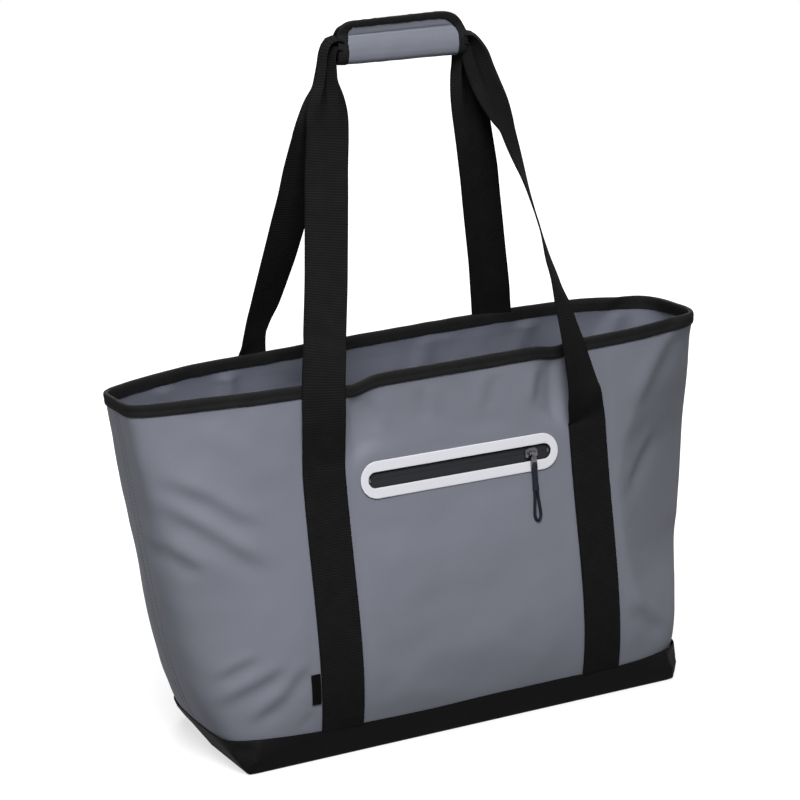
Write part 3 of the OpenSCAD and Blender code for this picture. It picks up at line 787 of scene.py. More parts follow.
def finish(name, colour, roughness, relief, pitch, strength, depth, spread, patch, metallic=0.0, specular=0.5,
           coat=0.0, soft=0.0):
    """Material of one finish: uneven tone and gloss, a fine relief of its own kind and a soft unevenness."""
    made = bpy.data.materials.get(name)
    if made:
        return made
    made = bpy.data.materials.new(name)
    made.use_nodes = True
    tree = made.node_tree
    shader = tree.nodes["Principled BSDF"]
    fill(shader, Metallic=metallic, Specular_IOR_Level=specular, Coat_Weight=coat,
         Coat_Roughness=COAT_ROUGHNESS)
    where = tree.nodes.new("ShaderNodeTexCoord").outputs["Object"]
    cloth = tree.nodes.new("ShaderNodeUVMap")
    cloth.uv_map = "cloth"
    tone = tree.nodes.new("ShaderNodeGroup")
    tone.node_tree = tone_group()
    fill(tone, Colour=(*colour, 1.0), Size=patch, Spread=spread, Roughness=roughness)
    link(tree, where, tone.inputs["Vector"])
    link(tree, tone.outputs["Roughness"], shader.inputs["Roughness"])
    shade = tone.outputs["Colour"]
    fine = tree.nodes.new("ShaderNodeGroup")
    fine.node_tree = {"weave": weave_group, "webbing": webbing_group, "braid": braid_group,
                      "cells": cell_group}[relief]()
    if relief == "cells":
        link(tree, where, fine.inputs["Vector"])
        fill(fine, Size=1.0 / pitch)
    else:
        link(tree, cloth.outputs["UV"], fine.inputs["Vector"])
        fine.inputs["Rib" if relief == "webbing" else "Pitch"].default_value = pitch
    # The webbing relief also scales the colour with its painted rib shade
    if relief == "webbing":
        fill(fine, Column=COLUMN_RIBS * pitch)
        shade = scaled(tree, shade, fine.outputs["Shade"])
    link(tree, shade, shader.inputs["Base Color"])
    bump = tree.nodes.new("ShaderNodeBump")
    fill(bump, Strength=strength, Distance=depth)
    link(tree, fine.outputs["Height"], bump.inputs["Height"])
    if soft:
        under = tree.nodes.new("ShaderNodeBump")
        fill(under, Strength=soft, Distance=SOFT_DEPTH)
        link(tree, tone.outputs["Height"], under.inputs["Height"])
        link(tree, under.outputs["Normal"], bump.inputs["Normal"])
    link(tree, bump.outputs["Normal"], shader.inputs["Normal"])
    return made


def finish_of(name, colour, *values, **levels):
    """Function that gives a finish: material, its colour in the list or as a display colour, then roughness,
    relief, its pitch, strength and depth, and spread and scale of the uneven tone."""
    def give():
        shade = getattr(colours(), colour) if isinstance(colour, str) else linear(*colour)
        return finish(name, shade, *values, **levels)
    return give


COATED = ("weave", 0.0008, 0.16, 0.0002)
THREAD = (0.6, "cells", 0.0004, 0.3, 0.0001, 0.1, 60.0)

tarpaulin = finish_of("slate coated cloth", "tarpaulin", 0.52, *COATED, 0.055, 9.0, specular=0.14, soft=0.03)
# Inner facing: the slate cloth in a darker colour, painted shade inside the mouth
shaded_inner_cloth = finish_of("slate inner cloth", "inner", 0.56, *COATED, 0.055, 9.0, specular=0.14, soft=0.03)
boot_cloth = finish_of("black coated cloth", "boot", 0.5, *COATED, 0.12, 11.0, specular=0.06, soft=0.03)
webbing = finish_of("woven webbing", "webbing", 0.78, "webbing", 0.0022, 0.35, 0.0004, 0.15, 20.0,
                    specular=0.035)
binding = finish_of("edge binding", "binding", 0.7, "webbing", 0.0012, 0.5, 0.0003, 0.15, 24.0, specular=0.04)
lining = finish_of("heat-sealed lining", "lining", 0.34, "cells", 0.006, 0.2, 0.0006, 0.05, 10.0,
                   specular=0.25, soft=0.05)
foam = finish_of("closed-cell foam", "foam", 0.85, "cells", 0.0011, 0.5, 0.0004, 0.05, 20.0, specular=0.2)
board = finish_of("grained board", "board", 0.55, "cells", 0.0009, 0.35, 0.0002, 0.1, 20.0, specular=0.3)
reflective = finish_of("beaded reflective film", "reflective", 0.38, "cells", 0.0007, 0.12, 0.0001, 0.035,
                       18.0, specular=0.2, coat=0.05)
zip_cloth = finish_of("coated zip tape", "zip_tape", 0.6, "weave", 0.0007, 0.3, 0.0002, 0.1, 24.0,
                      specular=0.07)
zip_metal = finish_of("dark plated metal", "metal", 0.3, "cells", 0.0005, 0.05, 0.0001, 0.12, 90.0,
                      metallic=1.0)
pull_cord = finish_of("braided cord", "cord", 0.7, "braid", 0.0012, 0.6, 0.0004, 0.15, 60.0, specular=0.07)
pull_rubber = finish_of("moulded sleeve", "cord", 0.5, "cells", 0.0006, 0.3, 0.0002, 0.12, 60.0, specular=0.1)
black_thread = finish_of("black thread", (24, 24, 25), *THREAD, specular=0.08)
grey_thread = finish_of("slate thread", (98, 101, 110), *THREAD, specular=0.08)
pile = finish_of("fastening pile", (22, 22, 23), 0.9, "cells", 0.0008, 0.9, 0.0006, 0.2, 60.0, specular=0.1)
label_weave = finish_of("label weave", (15, 15, 16), 0.8, "webbing", 0.0006, 0.3, 0.0002, 0.1, 60.0,
                        specular=0.03)


# Repeated small shapes along lines

@made_once("bead rows")
def bead_tree(name):
    """Tree that sets small rounded beads along the lines of a mesh."""
    tree = bpy.data.node_groups.new(name, "GeometryNodeTree")
    tree.interface.new_socket("Geometry", in_out="INPUT", socket_type="NodeSocketGeometry")
    for label, value in (("Pitch", 0.003), ("Along", 0.0011), ("Across", 0.0003), ("Height", 0.0003)):
        tree.interface.new_socket(label, in_out="INPUT", socket_type="NodeSocketFloat").default_value = value
    side = tree.interface.new_socket("Side", in_out="INPUT", socket_type="NodeSocketVector")
    side.default_value = (0.3, 0.5, 0.8)
    tree.interface.new_socket("Material", in_out="INPUT", socket_type="NodeSocketMaterial")
    tree.interface.new_socket("Geometry", in_out="OUTPUT", socket_type="NodeSocketGeometry")
    start, end = tree.nodes.new("NodeGroupInput"), tree.nodes.new("NodeGroupOutput")
    chain = [start] + [tree.nodes.new("GeometryNode" + kind) for kind in (
        "MeshToCurve", "CurveToPoints", "InstanceOnPoints", "RealizeInstances", "SetShadeSmooth",
        "SetMaterial")] + [end]
    for before, after in zip(chain, chain[1:]):
        link(tree, before.outputs[0], after.inputs[0])
    points, spread, paint = chain[2], chain[3], chain[6]
    points.mode = "LENGTH"
    ball = tree.nodes.new("GeometryNodeMeshUVSphere")
    fill(ball, Segments=6, Rings=4, Radius=1.0)
    size = tree.nodes.new("ShaderNodeCombineXYZ")
    shape = tree.nodes.new("GeometryNodeTransform")
    turn = tree.nodes.new("FunctionNodeAxesToRotation")
    turn.primary_axis, turn.secondary_axis = "Z", "X"
    given = start.outputs
    for source, target in (
            (given["Pitch"], points.inputs["Length"]), (given["Across"], size.inputs[0]),
            (given["Height"], size.inputs[1]), (given["Along"], size.inputs[2]),
            (ball.outputs["Mesh"], shape.inputs["Geometry"]), (size.outputs[0], shape.inputs["Scale"]),
            (points.outputs["Tangent"], turn.inputs[0]), (given["Side"], turn.inputs[1]),
            (shape.outputs["Geometry"], spread.inputs["Instance"]),
            (turn.outputs["Rotation"], spread.inputs["Rotation"]),
            (given["Material"], paint.inputs["Material"])):
        link(tree, source, target)
    return tree


def bead_rows(name, lines, material, **values):
    """Plain mesh of beads set along several lines."""
    points, edges = [], []
    for line in lines:
        base = len(points)
        points += list(line)
        edges += [(base + i, base + i + 1) for i in range(len(line) - 1)]
    mesh = plain_mesh(name + "_lines", points, [], edges)
    guide = put(name + "_lines", mesh)
    rows = guide.modifiers.new("bead rows", "NODES")
    rows.node_group = bead_tree()
    sockets = {item.name: item.identifier for item in rows.node_group.interface.items_tree
               if item.item_type == "SOCKET" and item.in_out == "INPUT"}
    rows[sockets["Material"]] = material
    for label, value in values.items():
        rows[sockets[label]] = value
    made = evaluated_mesh(guide)
    made.name = name
    if not made.polygons:
        raise RuntimeError(f"no beads were made for {name}")
    bpy.data.objects.remove(guide)
    bpy.data.meshes.remove(mesh)
    return put(name, made)


# Frames of the pocket and of the grip

class PocketFrame:
    """Place on the front panel: along the zip, outward and up the panel."""

    def __init__(self, shell):
        z, near = shell.pocket_z, 0.016
        self.origin = (0.0, -float(shell.outline(z)[1]), z)
        self.lean = math.atan2(float(shell.outline(z - near)[1] - shell.outline(z + near)[1]), 2 * near)
        self.deck = -0.0017
        pivot = next(joint["pos_m"] for joint in frame["joints"] if joint["name"] == "pocket_pull_swing")
        self.park = pivot[0]
        self.pin = (self.origin[1] - pivot[1]) * math.cos(self.lean) + (pivot[2] - z) * math.sin(self.lean)

    def at(self, x, out, up):
        c, s = math.cos(self.lean), math.sin(self.lean)
        return (self.origin[0] + x, self.origin[1] - out * c + up * s, self.origin[2] + out * s + up * c)

    def at_park(self, x, out, up):
        return self.at(self.park + x, out, up)

    def at_pin(self, x, out, up):
        return self.at_park(x, self.pin + out, up)


# Section of the wrap from its back upper edge round the bottom to its front upper edge, in millimetres
WRAP_SECTION = ((-7.2, 35.6), (-4.8, 32.0), (-1.2, 28.0), (2.6, 23.5), (5.6, 18.6), (6.6, 12.0), (6.4, 7.0),
                (5.3, 3.6), (2.4, 1.6), (0.0, 1.4), (-2.4, 1.6), (-5.2, 3.2), (-6.5, 6.4), (-6.9, 9.6),
                (-7.0, 13.5), (-6.5, 18.0), (-5.4, 22.4), (-5.0, 24.6), (-6.4, 28.4), (-10.4, 36.0))


class WrapForm:
    """Padded wrap round the webbing: place along the grip and round its section."""
    # Length and height of the round upper corners at the left and the right end
    CORNERS = {-1: (0.013, 0.013), 1: (0.030, 0.022)}
    # How much higher the right corner stands, and how far the panel ends inside the binding
    RISE, HEM = 0.003, 0.0012

    def __init__(self):
        s = sizes()
        self.middle, self.half, self.base = s.grip_shift, s.grip_length / 2 - 0.0018, s.grip_z
        line = curve_through([(0.0, y * MM, z * MM) for y, z in WRAP_SECTION], 400)[:, 1:]
        self.line = line
        self.run = lengths(line)
        self.total = self.run[-1]
        low = np.argmin(np.abs(line[:, 1] - 0.0076) + 10 * (line[:, 0] > 0))
        self.hinge = self.run[low]
        self.spans = (("back", (0.0, self.hinge)), ("flap", (self.hinge, self.total)))
        tangent = unit(np.gradient(line, axis=0))
        self.out = np.column_stack([-tangent[:, 1], tangent[:, 0]])

    def at(self, along, round_at, proud):
        """Point at a place along the grip and round the section, at a distance off the padding's middle."""
        y, z = (np.interp(round_at, self.run, self.line[:, k]) for k in (0, 1))
        ny, nz = (np.interp(round_at, self.run, self.out[:, k]) for k in (0, 1))
        rise = self.RISE * (0.5 + 0.5 * along / self.half) * smooth((z - 0.022) / 0.014)
        return np.array([self.middle + along, y + ny * proud, self.base + z + nz * proud + rise])

    def reach(self, round_at, end, inset=0.0):
        """Distance from the middle to the left (-1) or right (1) edge, less at the round upper corners."""
        edge = min(round_at, self.total - round_at) - inset
        wide, tall = self.CORNERS[end]
        wide, tall = wide - inset, tall - inset
        if edge >= tall:
            return self.half - inset
        return self.half - inset - wide + wide * math.sqrt(max(0.0, 1 - ((tall - edge) / tall) ** 2))

    @staticmethod
    def bend(piece):
        """Bakes the transform of a piece of the front half into its mesh."""
        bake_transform(piece)


# Stage

# Lamps: name, place, size and power
LAMPS = (("key", (-0.65, -1.5, 2.0), 1.2, 66.0), ("fill", (-2.3, -0.5, 0.9), 2.2, 10.0),
         ("top", (0.0, 0.0, 2.6), 2.0, 16.0), ("back", (0.9, 2.2, 1.4), 1.8, 40.0))
LAMP_AIM = (0.0, 0.0, 0.25)
# Share of the white surroundings that shiny pieces mirror
MIRRORED = 0.35
# Floor: its height, rings and sides, shade of the paper in the light and as it is seen
FLOOR_Z, FLOOR_RINGS, FLOOR_SIDES = -0.0004, (0.4, 0.8, 1.6, 3.2, 6.0), 48
PAPER_LIT, PAPER_SEEN = 0.14, 0.61
# Glow of the paper away from the bag, and the distances at which it begins to grow and is full
GLOW, GLOW_FROM, GLOW_FULL = 1.33, 0.22, 0.6
WHITE, ROOM_LIGHT = (1.0, 1.0, 1.0, 1.0), 0.13


class BAG_OT_stage(Operator):
    """Camera, floor, light and world"""
    bl_idname = "bag.stage"
    bl_label = "Stage"

    def execute(self, context):
        scene = context.scene
        az, tilt, roll = (math.radians(v) for v in (CAMERA_AZIMUTH, CAMERA_TILT, CAMERA_ROLL))
        back = Vector((math.sin(az) * math.cos(tilt), -math.cos(az) * math.cos(tilt), math.sin(tilt)))
        level = Vector((math.cos(az), math.sin(az), 0.0))
        upright = back.cross(level)
        right = math.cos(roll) * level + math.sin(roll) * upright
        up = math.cos(roll) * upright - math.sin(roll) * level
        lens = bpy.data.cameras.new("camera")
        lens.lens, lens.sensor_width, lens.sensor_fit = CAMERA_LENS, CAMERA_SENSOR, "HORIZONTAL"
        camera = put("camera", lens)
        turn = Matrix((right, up, back)).transposed().to_4x4()
        camera.matrix_world = Matrix.Translation(CAMERA_PLACE) @ turn
        scene.camera = camera
        scene.view_settings.view_transform = "Standard"
        self.floor()
        self.world(scene)
        for lamp in LAMPS:
            self.lamp(*lamp)
        return {"FINISHED"}

    @staticmethod
    def lamp(name, place, size, energy):
        data = bpy.data.lights.new(name, "AREA")
        data.shape, data.size, data.energy = "DISK", size, energy
        lamp = put(name, data)
        lamp.location = place
        lamp.rotation_euler = (Vector(LAMP_AIM) - Vector(place)).to_track_quat("-Z", "Y").to_euler()

    @staticmethod
    def seen(tree):
        """1 for what the camera sees straight on, less for what it sees in shiny pieces."""
        path = tree.nodes.new("ShaderNodeLightPath").outputs
        shiny = maths(tree, "MAXIMUM", path["Is Glossy Ray"], path["Is Transmission Ray"])
        return maths(tree, "MAXIMUM", path["Is Camera Ray"], maths(tree, "MULTIPLY", shiny, MIRRORED))

    def floor(self):
        ring = [(math.cos(t), math.sin(t)) for t in turns(FLOOR_SIDES)]
        points = [(0.0, 0.0, FLOOR_Z)] + [(r * x, r * y, FLOOR_Z) for r in FLOOR_RINGS for x, y in ring]
        steps = [(k, (k + 1) % FLOOR_SIDES) for k in range(FLOOR_SIDES)]
        faces = [(0, 1 + k, 1 + n) for k, n in steps]
        for j in range(len(FLOOR_RINGS) - 1):
            a, b = 1 + j * FLOOR_SIDES, 1 + (j + 1) * FLOOR_SIDES
            faces += [(a + k, b + k, b + n, a + n) for k, n in steps]
        mesh = plain_mesh("floor", points, faces)
        floor = put("floor", mesh)
        made = bpy.data.materials.new("pale floor")
        made.use_nodes = True
        tree = made.node_tree
        tree.nodes.remove(tree.nodes["Principled BSDF"])
        paper = tree.nodes.new("ShaderNodeBsdfDiffuse")
        shade = maths(tree, "ADD", maths(tree, "MULTIPLY", self.seen(tree), PAPER_SEEN), PAPER_LIT)
        link(tree, shade, paper.inputs["Color"])
        glow = tree.nodes.new("ShaderNodeEmission")
        fill(glow, Strength=GLOW)
        place = split(tree, tree.nodes.new("ShaderNodeTexCoord").outputs["Object"])
        reach = maths(tree, "SQRT", maths(tree, "ADD", maths(tree, "POWER", place[0], 2.0),
                                          maths(tree, "POWER", place[1], 2.0)))
        far = tree.nodes.new("ShaderNodeMapRange")
        fill(far, From_Min=GLOW_FROM, From_Max=GLOW_FULL, To_Min=0.5, To_Max=1.0)
        link(tree, reach, far.inputs["Value"])
        mix = tree.nodes.new("ShaderNodeMixShader")
        link(tree, maths(tree, "MULTIPLY", far.outputs["Result"], self.seen(tree)), mix.inputs["Fac"])
        link(tree, paper.outputs["BSDF"], mix.inputs[1])
        link(tree, glow.outputs["Emission"], mix.inputs[2])
        link(tree, mix.outputs[0], tree.nodes["Material Output"].inputs["Surface"])
        mesh.materials.append(made)

    def world(self, scene):
        world = bpy.data.worlds.new("studio")
        scene.world = world
        world.use_nodes = True
        tree = world.node_tree
        room = tree.nodes["Background"]
        fill(room, Color=WHITE, Strength=ROOM_LIGHT)
        plain = tree.nodes.new("ShaderNodeBackground")
        fill(plain, Color=WHITE)
        mix = tree.nodes.new("ShaderNodeMixShader")
        link(tree, self.seen(tree), mix.inputs["Fac"])
        link(tree, room.outputs[0], mix.inputs[1])
        link(tree, plain.outputs[0], mix.inputs[2])
        link(tree, mix.outputs[0], tree.nodes["World Output"].inputs["Surface"])


# Zip pull of the pocket

# Loop of cord below the sleeve: along the zip and up from the pin, in millimetres
CORD_ROUTE = ((-1.4, -33.8), (-1.5, -37), (-2, -42), (-2.6, -48), (-2.9, -53), (-2.1, -56.6), (0, -58.2),
              (2.1, -56.6), (2.9, -53), (2.6, -48), (2, -42), (1.5, -37), (1.4, -33.8))
CORD_DIAMETER = 0.0026
# Sleeve over the ends of the cord: height from the pin, half width and half depth, in millimetres
SLEEVE = ((-7.6, 1.3, 1.1), (-8.2, 2.1, 1.7), (-9.6, 2.65, 2.1), (-12, 2.75, 2.15), (-15, 2.5, 2.0),
          (-20, 2.35, 1.9), (-26, 2.45, 1.95), (-30, 2.7, 2.1), (-32, 2.75, 2.1), (-33.2, 2.2, 1.7),
          (-33.6, 1.4, 1.1))

# Half of the slider's plate, in millimetres
SLIDER_PLATE = ((-6, -3.1), (-2.5, -4.5), (3.6, -4.5), (6, -2.4))
PIN_RADIUS = 0.0007


def slider_solids(place, deck, pin, across):
    """Two plates, a post and two lugs with a pin; across is the order of axes for what lies along the pin."""
    made = Solids(place)
    plate = [(u * MM, v * MM) for u, v in SLIDER_PLATE]
    plate += [(u, -v) for u, v in plate[::-1]]
    made.prism(plate, deck + 0.5 * MM, deck + 2.4 * MM, "uwv")
    made.prism(plate, deck - 2.4 * MM, deck - 1.1 * MM, "uwv")
    post = [(-1 * MM, -0.35 * MM), (5 * MM, -0.35 * MM), (5 * MM, 0.35 * MM), (-1 * MM, 0.35 * MM)]
    made.prism(post, deck - 1.3 * MM, deck + 0.7 * MM, "uwv")
    lug = [(-1.5 * MM, deck + 2.0 * MM), (1.5 * MM, deck + 2.0 * MM)]
    lug += [(1.25 * MM * math.cos(t), pin + MM * math.sin(t)) for t in np.linspace(0, math.pi, 9)]
    for s in (-1, 1):
        made.prism(lug, s * 3.1 * MM - 0.6 * MM, s * 3.1 * MM + 0.6 * MM, across)
    rod = [(PIN_RADIUS * math.cos(t), pin + PIN_RADIUS * math.sin(t)) for t in turns(16)]
    made.prism(rod, -2.6 * MM, 2.6 * MM, across)
    return made


def puller_piece(name, place, long, eye):
    """Puller: a barrel round the pin and a flat tab with an eye, hanging down from the pin."""
    made = Solids(place)
    outer, bore = ([(r * MM * math.cos(t), r * MM * math.sin(t)) for t in turns(20)] for r in (1.75, 1.0))
    made.frame(outer, bore, -2.1 * MM, 2.1 * MM, "vwu")
    middle, half = -long / 2 - 0.0023, long / 2 + 0.0001
    across, along = np.cos(turns(24)), np.sin(turns(24))
    tab = list(zip(3.0 * MM * power(across, 0.6), middle + half * power(along, 0.6)))
    hole = list(zip(1.3 * MM * power(across, 0.7), -eye + 0.0009 + 1.7 * MM * power(along, 0.7)))
    made.frame(tab, hole, -0.7 * MM, 0.7 * MM, "uwv")
    return made.piece(name, 0.0003)


class BAG_OT_zip_pull(Operator):
    """Slider, puller, sleeve and cord loop of the pocket zip"""
    bl_idname = "bag.zip_pull"
    bl_label = "Pocket zip pull"

    def execute(self, context):
        pocket = PocketFrame(Shell())
        route = curve_through([pocket.at_pin(x * MM, 0.0, v * MM) for x, v in CORD_ROUTE], 37)
        cord = tube("pull_cord", route, CORD_DIAMETER / 2, 12)
        wear(cord, "pocket_pull", pull_cord(), "cord", "pocket_cord")
        slider = slider_solids(pocket.at_park, pocket.deck, pocket.pin, "wvu")
        slider = slider.piece("pocket_zip_slider", 0.0004)
        wear(slider, "pocket_slider", zip_metal(), "gunmetal", "pocket_slider")
        puller = puller_piece("pocket_zip_puller", pocket.at_pin, 0.0116, 0.0104)
        wear(puller, "pocket_pull", zip_metal(), "gunmetal", "pocket_puller")
        self.sleeve(pocket)
        return {"FINISHED"}

    @staticmethod
    def sleeve(pocket):
        line = curve_through([(0.0, 0.0, v * MM, w * MM, d * MM) for v, w, d in SLEEVE], 44)
        count = 24
        across, out = power(np.cos(turns(count)), 0.7), power(np.sin(turns(count)), 0.7)
        grid = [[pocket.at_pin(w * a, d * b, v) for a, b in zip(across, out)] for _, _, v, w, d in line]
        flat = [[(k * 0.0007, v) for k in range(count + 1)] for v in line[:, 2]]
        sleeve = skin("pull_sleeve", grid, flat, around=True, caps=True)
        wear(sleeve, "pocket_pull", pull_rubber(), "sleeve", "pocket_sleeve")


# Panels and boot

CLOTH_THICK = 0.0008
# How much shorter and lower than the surround the opening behind the zip is
WINDOW_LESS = (0.012, 0.0162)


class BAG_OT_panels(Operator):
    """Front and back panels of coated cloth with their folds"""
    bl_idname = "bag.panels"
    bl_label = "Panels"

    def execute(self, context):
        shell = Shell()
        top = shell.height - 0.001
        heights = np.concatenate([np.linspace(0.0016, 0.03, 10, endpoint=False), np.linspace(0.03, top, 110)])
        area = float(np.trapz(shell.girths(heights, 200), heights))
        for side, word in SIDES:
            outer, flat = shell.wall(side, 0.0, heights, 261)
            inner, _ = shell.wall(side, CLOTH_THICK, heights, 261)
            piece = slab(word + "_cloth", outer, inner, flat)
            if side < 0:
                self.cut_window(piece, PocketFrame(shell))
            wear(piece, "bag", tarpaulin(), "tarpaulin", word + "_panel")
        return {"FINISHED"}

    @staticmethod
    def cut_window(piece, pocket):
        """Opening behind the zip, its edge covered by the surround."""
        cutter = Solids(pocket.at)
        long, tall = sizes().pocket_length - WINDOW_LESS[0], sizes().pocket_width - WINDOW_LESS[1]
        cutter.prism(stadium(long, tall, 14), -0.008, 0.008, "uwv")
        tool = cutter.piece("window_cutter", 0.0)
        cut = piece.modifiers.new("window", "BOOLEAN")
        cut.operation, cut.solver, cut.object = "DIFFERENCE", "EXACT", tool
        made = evaluated_mesh(piece)
        piece.modifiers.remove(cut)
        old, piece.data = piece.data, made
        bpy.data.meshes.remove(old)
        bpy.data.objects.remove(tool)
        made.set_sharp_from_angle(angle=math.radians(40))


# How far the corners of the boot are tucked in: height and depth in millimetres
BOOT_TUCK = ((0, -1), (3, 2.3), (7, 4.8), (12, 8.2), (17, 13.8), (22, 17.9), (28, 19.0))


def level_plate(name, rings):
    """Level plate through closed lines, each scaled by a share and set at a height."""
    grid = []
    for loop, share, height in rings:
        made = loop * share
        made[:, 2] = height
        grid.append(made)
    flat = [np.vstack([made[:, :2], made[:1, :2]]) for made in grid]
    return skin(name, grid, flat, around=True, caps=True)


class BAG_OT_boot(Operator):
    """Black boot: floor and band with folded corners"""
    bl_idname = "bag.boot"
    bl_label = "Boot"

    def execute(self, context):
        shell = Shell(sharp=150.0)
        self.band(shell)
        self.floor(shell)
        return {"FINISHED"}

    @staticmethod
    def band(shell):
        count = 361
        profile = [(-0.6, 0.4)] + [(-1.0, high) for high in (1.2, 3, 7, 12, 17, 22, 25.5, 27.3)]
        profile += [(-0.85, 27.9), (-0.5, 28.0), (-0.2, 27.8), (-0.2, 20), (-0.2, 10), (-0.2, 1.2)]
        grid, flat = [], []
        for inset, high in profile:
            _, points, normals = shell.loop(high * MM, 0.0, count)
            a, b, _ = shell.outline(high * MM)
            far, deep = np.abs(points[:, 0]), np.abs(points[:, 1])
            corner = np.clip(6 * np.clip(far / a, 0, 1) ** 10 * np.clip(deep / b, 0, 1) ** 10, 0, 1)
            up = high / 28
            ends, sides = far - a, deep - b
            tuck = ends * 0.62 + sides * 0.78 + np.interp(high, *np.array(BOOT_TUCK).T) * MM
            crease = np.exp(-((ends + 0.93 * high * MM + 0.001) / 0.0028) ** 2)
            crease = crease * math.sin(math.pi * min(1, up)) ** 0.7
            move = 0.9 * MM * crease * np.clip(-ends / 0.004, 0, 1) - np.clip(tuck, 0, None)
            soft = bumps(points, 22.0) * 0.7 * MM * min(1.0, up * 2)
            made = points + normals * (move + np.clip(soft, -0.3 * MM, 0.7 * MM) - inset * MM)[:, None]
            made[:, 2] += 0.0032 * corner * up ** 2 + 0.0005 * up * np.sin(points[:, 0] * 31)
            grid.append(made)
            run = lengths(points)
            run = np.append(run, run[-1] + 0.002)
            flat.append(np.column_stack([run, np.full(len(run), high * MM)]))
        grid.append(grid[0])
        flat.append(flat[0])
        wear(skin("boot_side", grid, flat, around=True), "bag", boot_cloth(), "boot_tarpaulin", "boot_band")

    @staticmethod
    def floor(shell):
        steps = [(0.02, 1.0), (0.3, 1.0), (0.6, 1.0), (0.85, 1.0), (0.96, 1.0), (0.997, 0.9), (1.0, 0.5),
                 (0.996, 0.12), (0.985, 0.0), (0.9, 0.05), (0.6, 0.2), (0.3, 0.3), (0.02, 0.3)]
        loop, _, _ = shell.loop(0.0, -0.001, 121)
        piece = level_plate("boot_base", [(loop, share, high * MM) for share, high in steps])
        wear(piece, "bag", boot_cloth(), "boot_tarpaulin", "boot_floor")


# Depth of the foam and of the layer behind it, from the outside of the bag
FOAM_OUTER, FOAM_INNER, LINER_OUTER, LINER_INNER = 0.0024, 0.008, 0.0082, 0.0088
# Share of a panel's dents that shows on the inner layers
INNER_DENT = 0.4
# Puckers of the facings: place, lean, share of the depth and width in millimetres
PUCKERS = ((-196, -0.5, 1.0, 9), (-168, 0.3, 0.9, 7), (-139, -0.4, 0.8, 8), (-96, 0.5, 0.7, 10),
           (-40, -0.3, 0.6, 12), (22, 0.4, 0.8, 10), (70, -0.2, 0.7, 9), (118, 0.5, 0.9, 8),
           (160, -0.4, 1.0, 9), (204, 0.6, 1.1, 9))


class BAG_OT_insulation(Operator):
    """Foam, lining and base board inside the panels"""
    bl_idname = "bag.insulation"
    bl_label = "Insulation and lining"

    def execute(self, context):
        shell = Shell()
        top = shell.height - 0.001
        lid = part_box("closure_flap_front")[0].z + 0.0015

        def recess(points):
            """Outer depth of the front foam, deeper behind the pocket."""
            x, z = points[..., 0], points[..., 2]
            tall = smooth((z - 0.094) / 0.004) * smooth((0.2535 - z) / 0.004)
            return FOAM_OUTER + 0.0038 * smooth((0.099 - np.abs(x)) / 0.004) * tall

        heights = np.linspace(0.0046, top, 60)
        for side, word in SIDES:
            outer, flat = shell.wall(side, recess if side < 0 else FOAM_OUTER, heights, 121)
            inner, _ = shell.wall(side, shell.behind(FOAM_INNER), heights, 121, INNER_DENT)
            padding = slab(word + "_padding", outer, inner, flat)
            wear(padding, "bag", foam(), "foam", word + "_foam")
        heights = np.linspace(0.0128, lid - 0.0034, 44)
        for side, word in SIDES:
            piece = self.sheet(shell, word + "_lining", side, heights)
            self.sew(shell, piece, word, heights, lining(), "liner", word + "_liner")
        # The facings wear the darker inner cloth, painted shade inside the mouth
        heights = np.linspace(lid - 0.003, top, 40)
        for side, word in SIDES:
            piece = self.sheet(shell, word + "_inner_facing", side, heights, 1.0 if side < 0 else 3.2)
            self.sew(shell, piece, word, heights, shaded_inner_cloth(), "tarpaulin", word + "_facing")
        for name, node, z, inset, thick, material, slot in (
                ("floor_lining", "floor_liner", 0.0126, 0.0092, 0.0006, lining, "liner"),
                ("floor_padding", "base_foam", 0.0044, 0.0085, 0.008, foam, "foam"),
                ("stiff_board", "base_board", 0.0012, 0.0012, 0.003, board, "board")):
            piece = self.plate(shell, name, z, inset, thick)
            wear(piece, "bag", material(), slot, node)
            if node == "floor_liner":
                self.plate_area(shell, z, inset)
        return {"FINISHED"}

    @staticmethod
    def sheet(shell, name, side, heights, pucker=0.0):
        """Thin layer behind the foam, puckered where it hangs free."""
        count = 161
        outer, flat = shell.wall(side, shell.behind(LINER_OUTER), heights, count, INNER_DENT)
        inner, _ = shell.wall(side, shell.behind(LINER_INNER), heights, count, INNER_DENT)
        if pucker:
            points, normals, _ = shell.rings(side, heights, count)
            x, y, z = (points[..., k] for k in range(3))
            free = smooth((z - heights[0] - 0.008) / 0.012) * smooth((heights[-1] - 0.009 - z) / 0.008)
            ends = smooth((np.abs(y) - 0.006) / 0.014)
            fold = np.zeros(x.shape)
            for at, lean, deep, wide in PUCKERS:
                off = x - at * MM - lean * (z - heights[0])
                fold += deep * np.exp(-(off / (wide * MM)) ** 2)
            move = normals * (fold * pucker * MM * free * ends)[..., None]
            outer, inner = outer - move, inner - move
        return slab(name, outer, inner, flat)

    @staticmethod
    def sew(shell, piece, word, heights, material, slot, node):
        wear(piece, "bag", material, slot, node)
        wide = float(np.mean(shell.girths(heights, 100) - 0.022))

    @staticmethod
    def plate_area(shell, z, inset):
        loop, _, _ = shell.loop(z, inset, 121)
        x, y = loop[:, 0], loop[:, 1]
        return float(abs(np.sum(x * np.roll(y, -1) - y * np.roll(x, -1))) / 2)

    @staticmethod
    def plate(shell, name, z, inset, thick):
        """Plate of the floor with rounded edges: top from the middle out, edge and underside."""
        rim = min(0.35 * thick, 0.002)
        shares = (0.02, 0.35, 0.7, 0.93)
        steps = [(share, thick, 0) for share in shares] + [(1, thick, rim), (1, thick - rim, 0)]
        steps += [(1, rim, 0), (1, 0, rim)] + [(share, 0, 0) for share in shares[::-1]]
        rings = [(shell.loop(z, inset + back, 121)[0], share, z + high) for share, high, back in steps]
        return level_plate(name, rings)


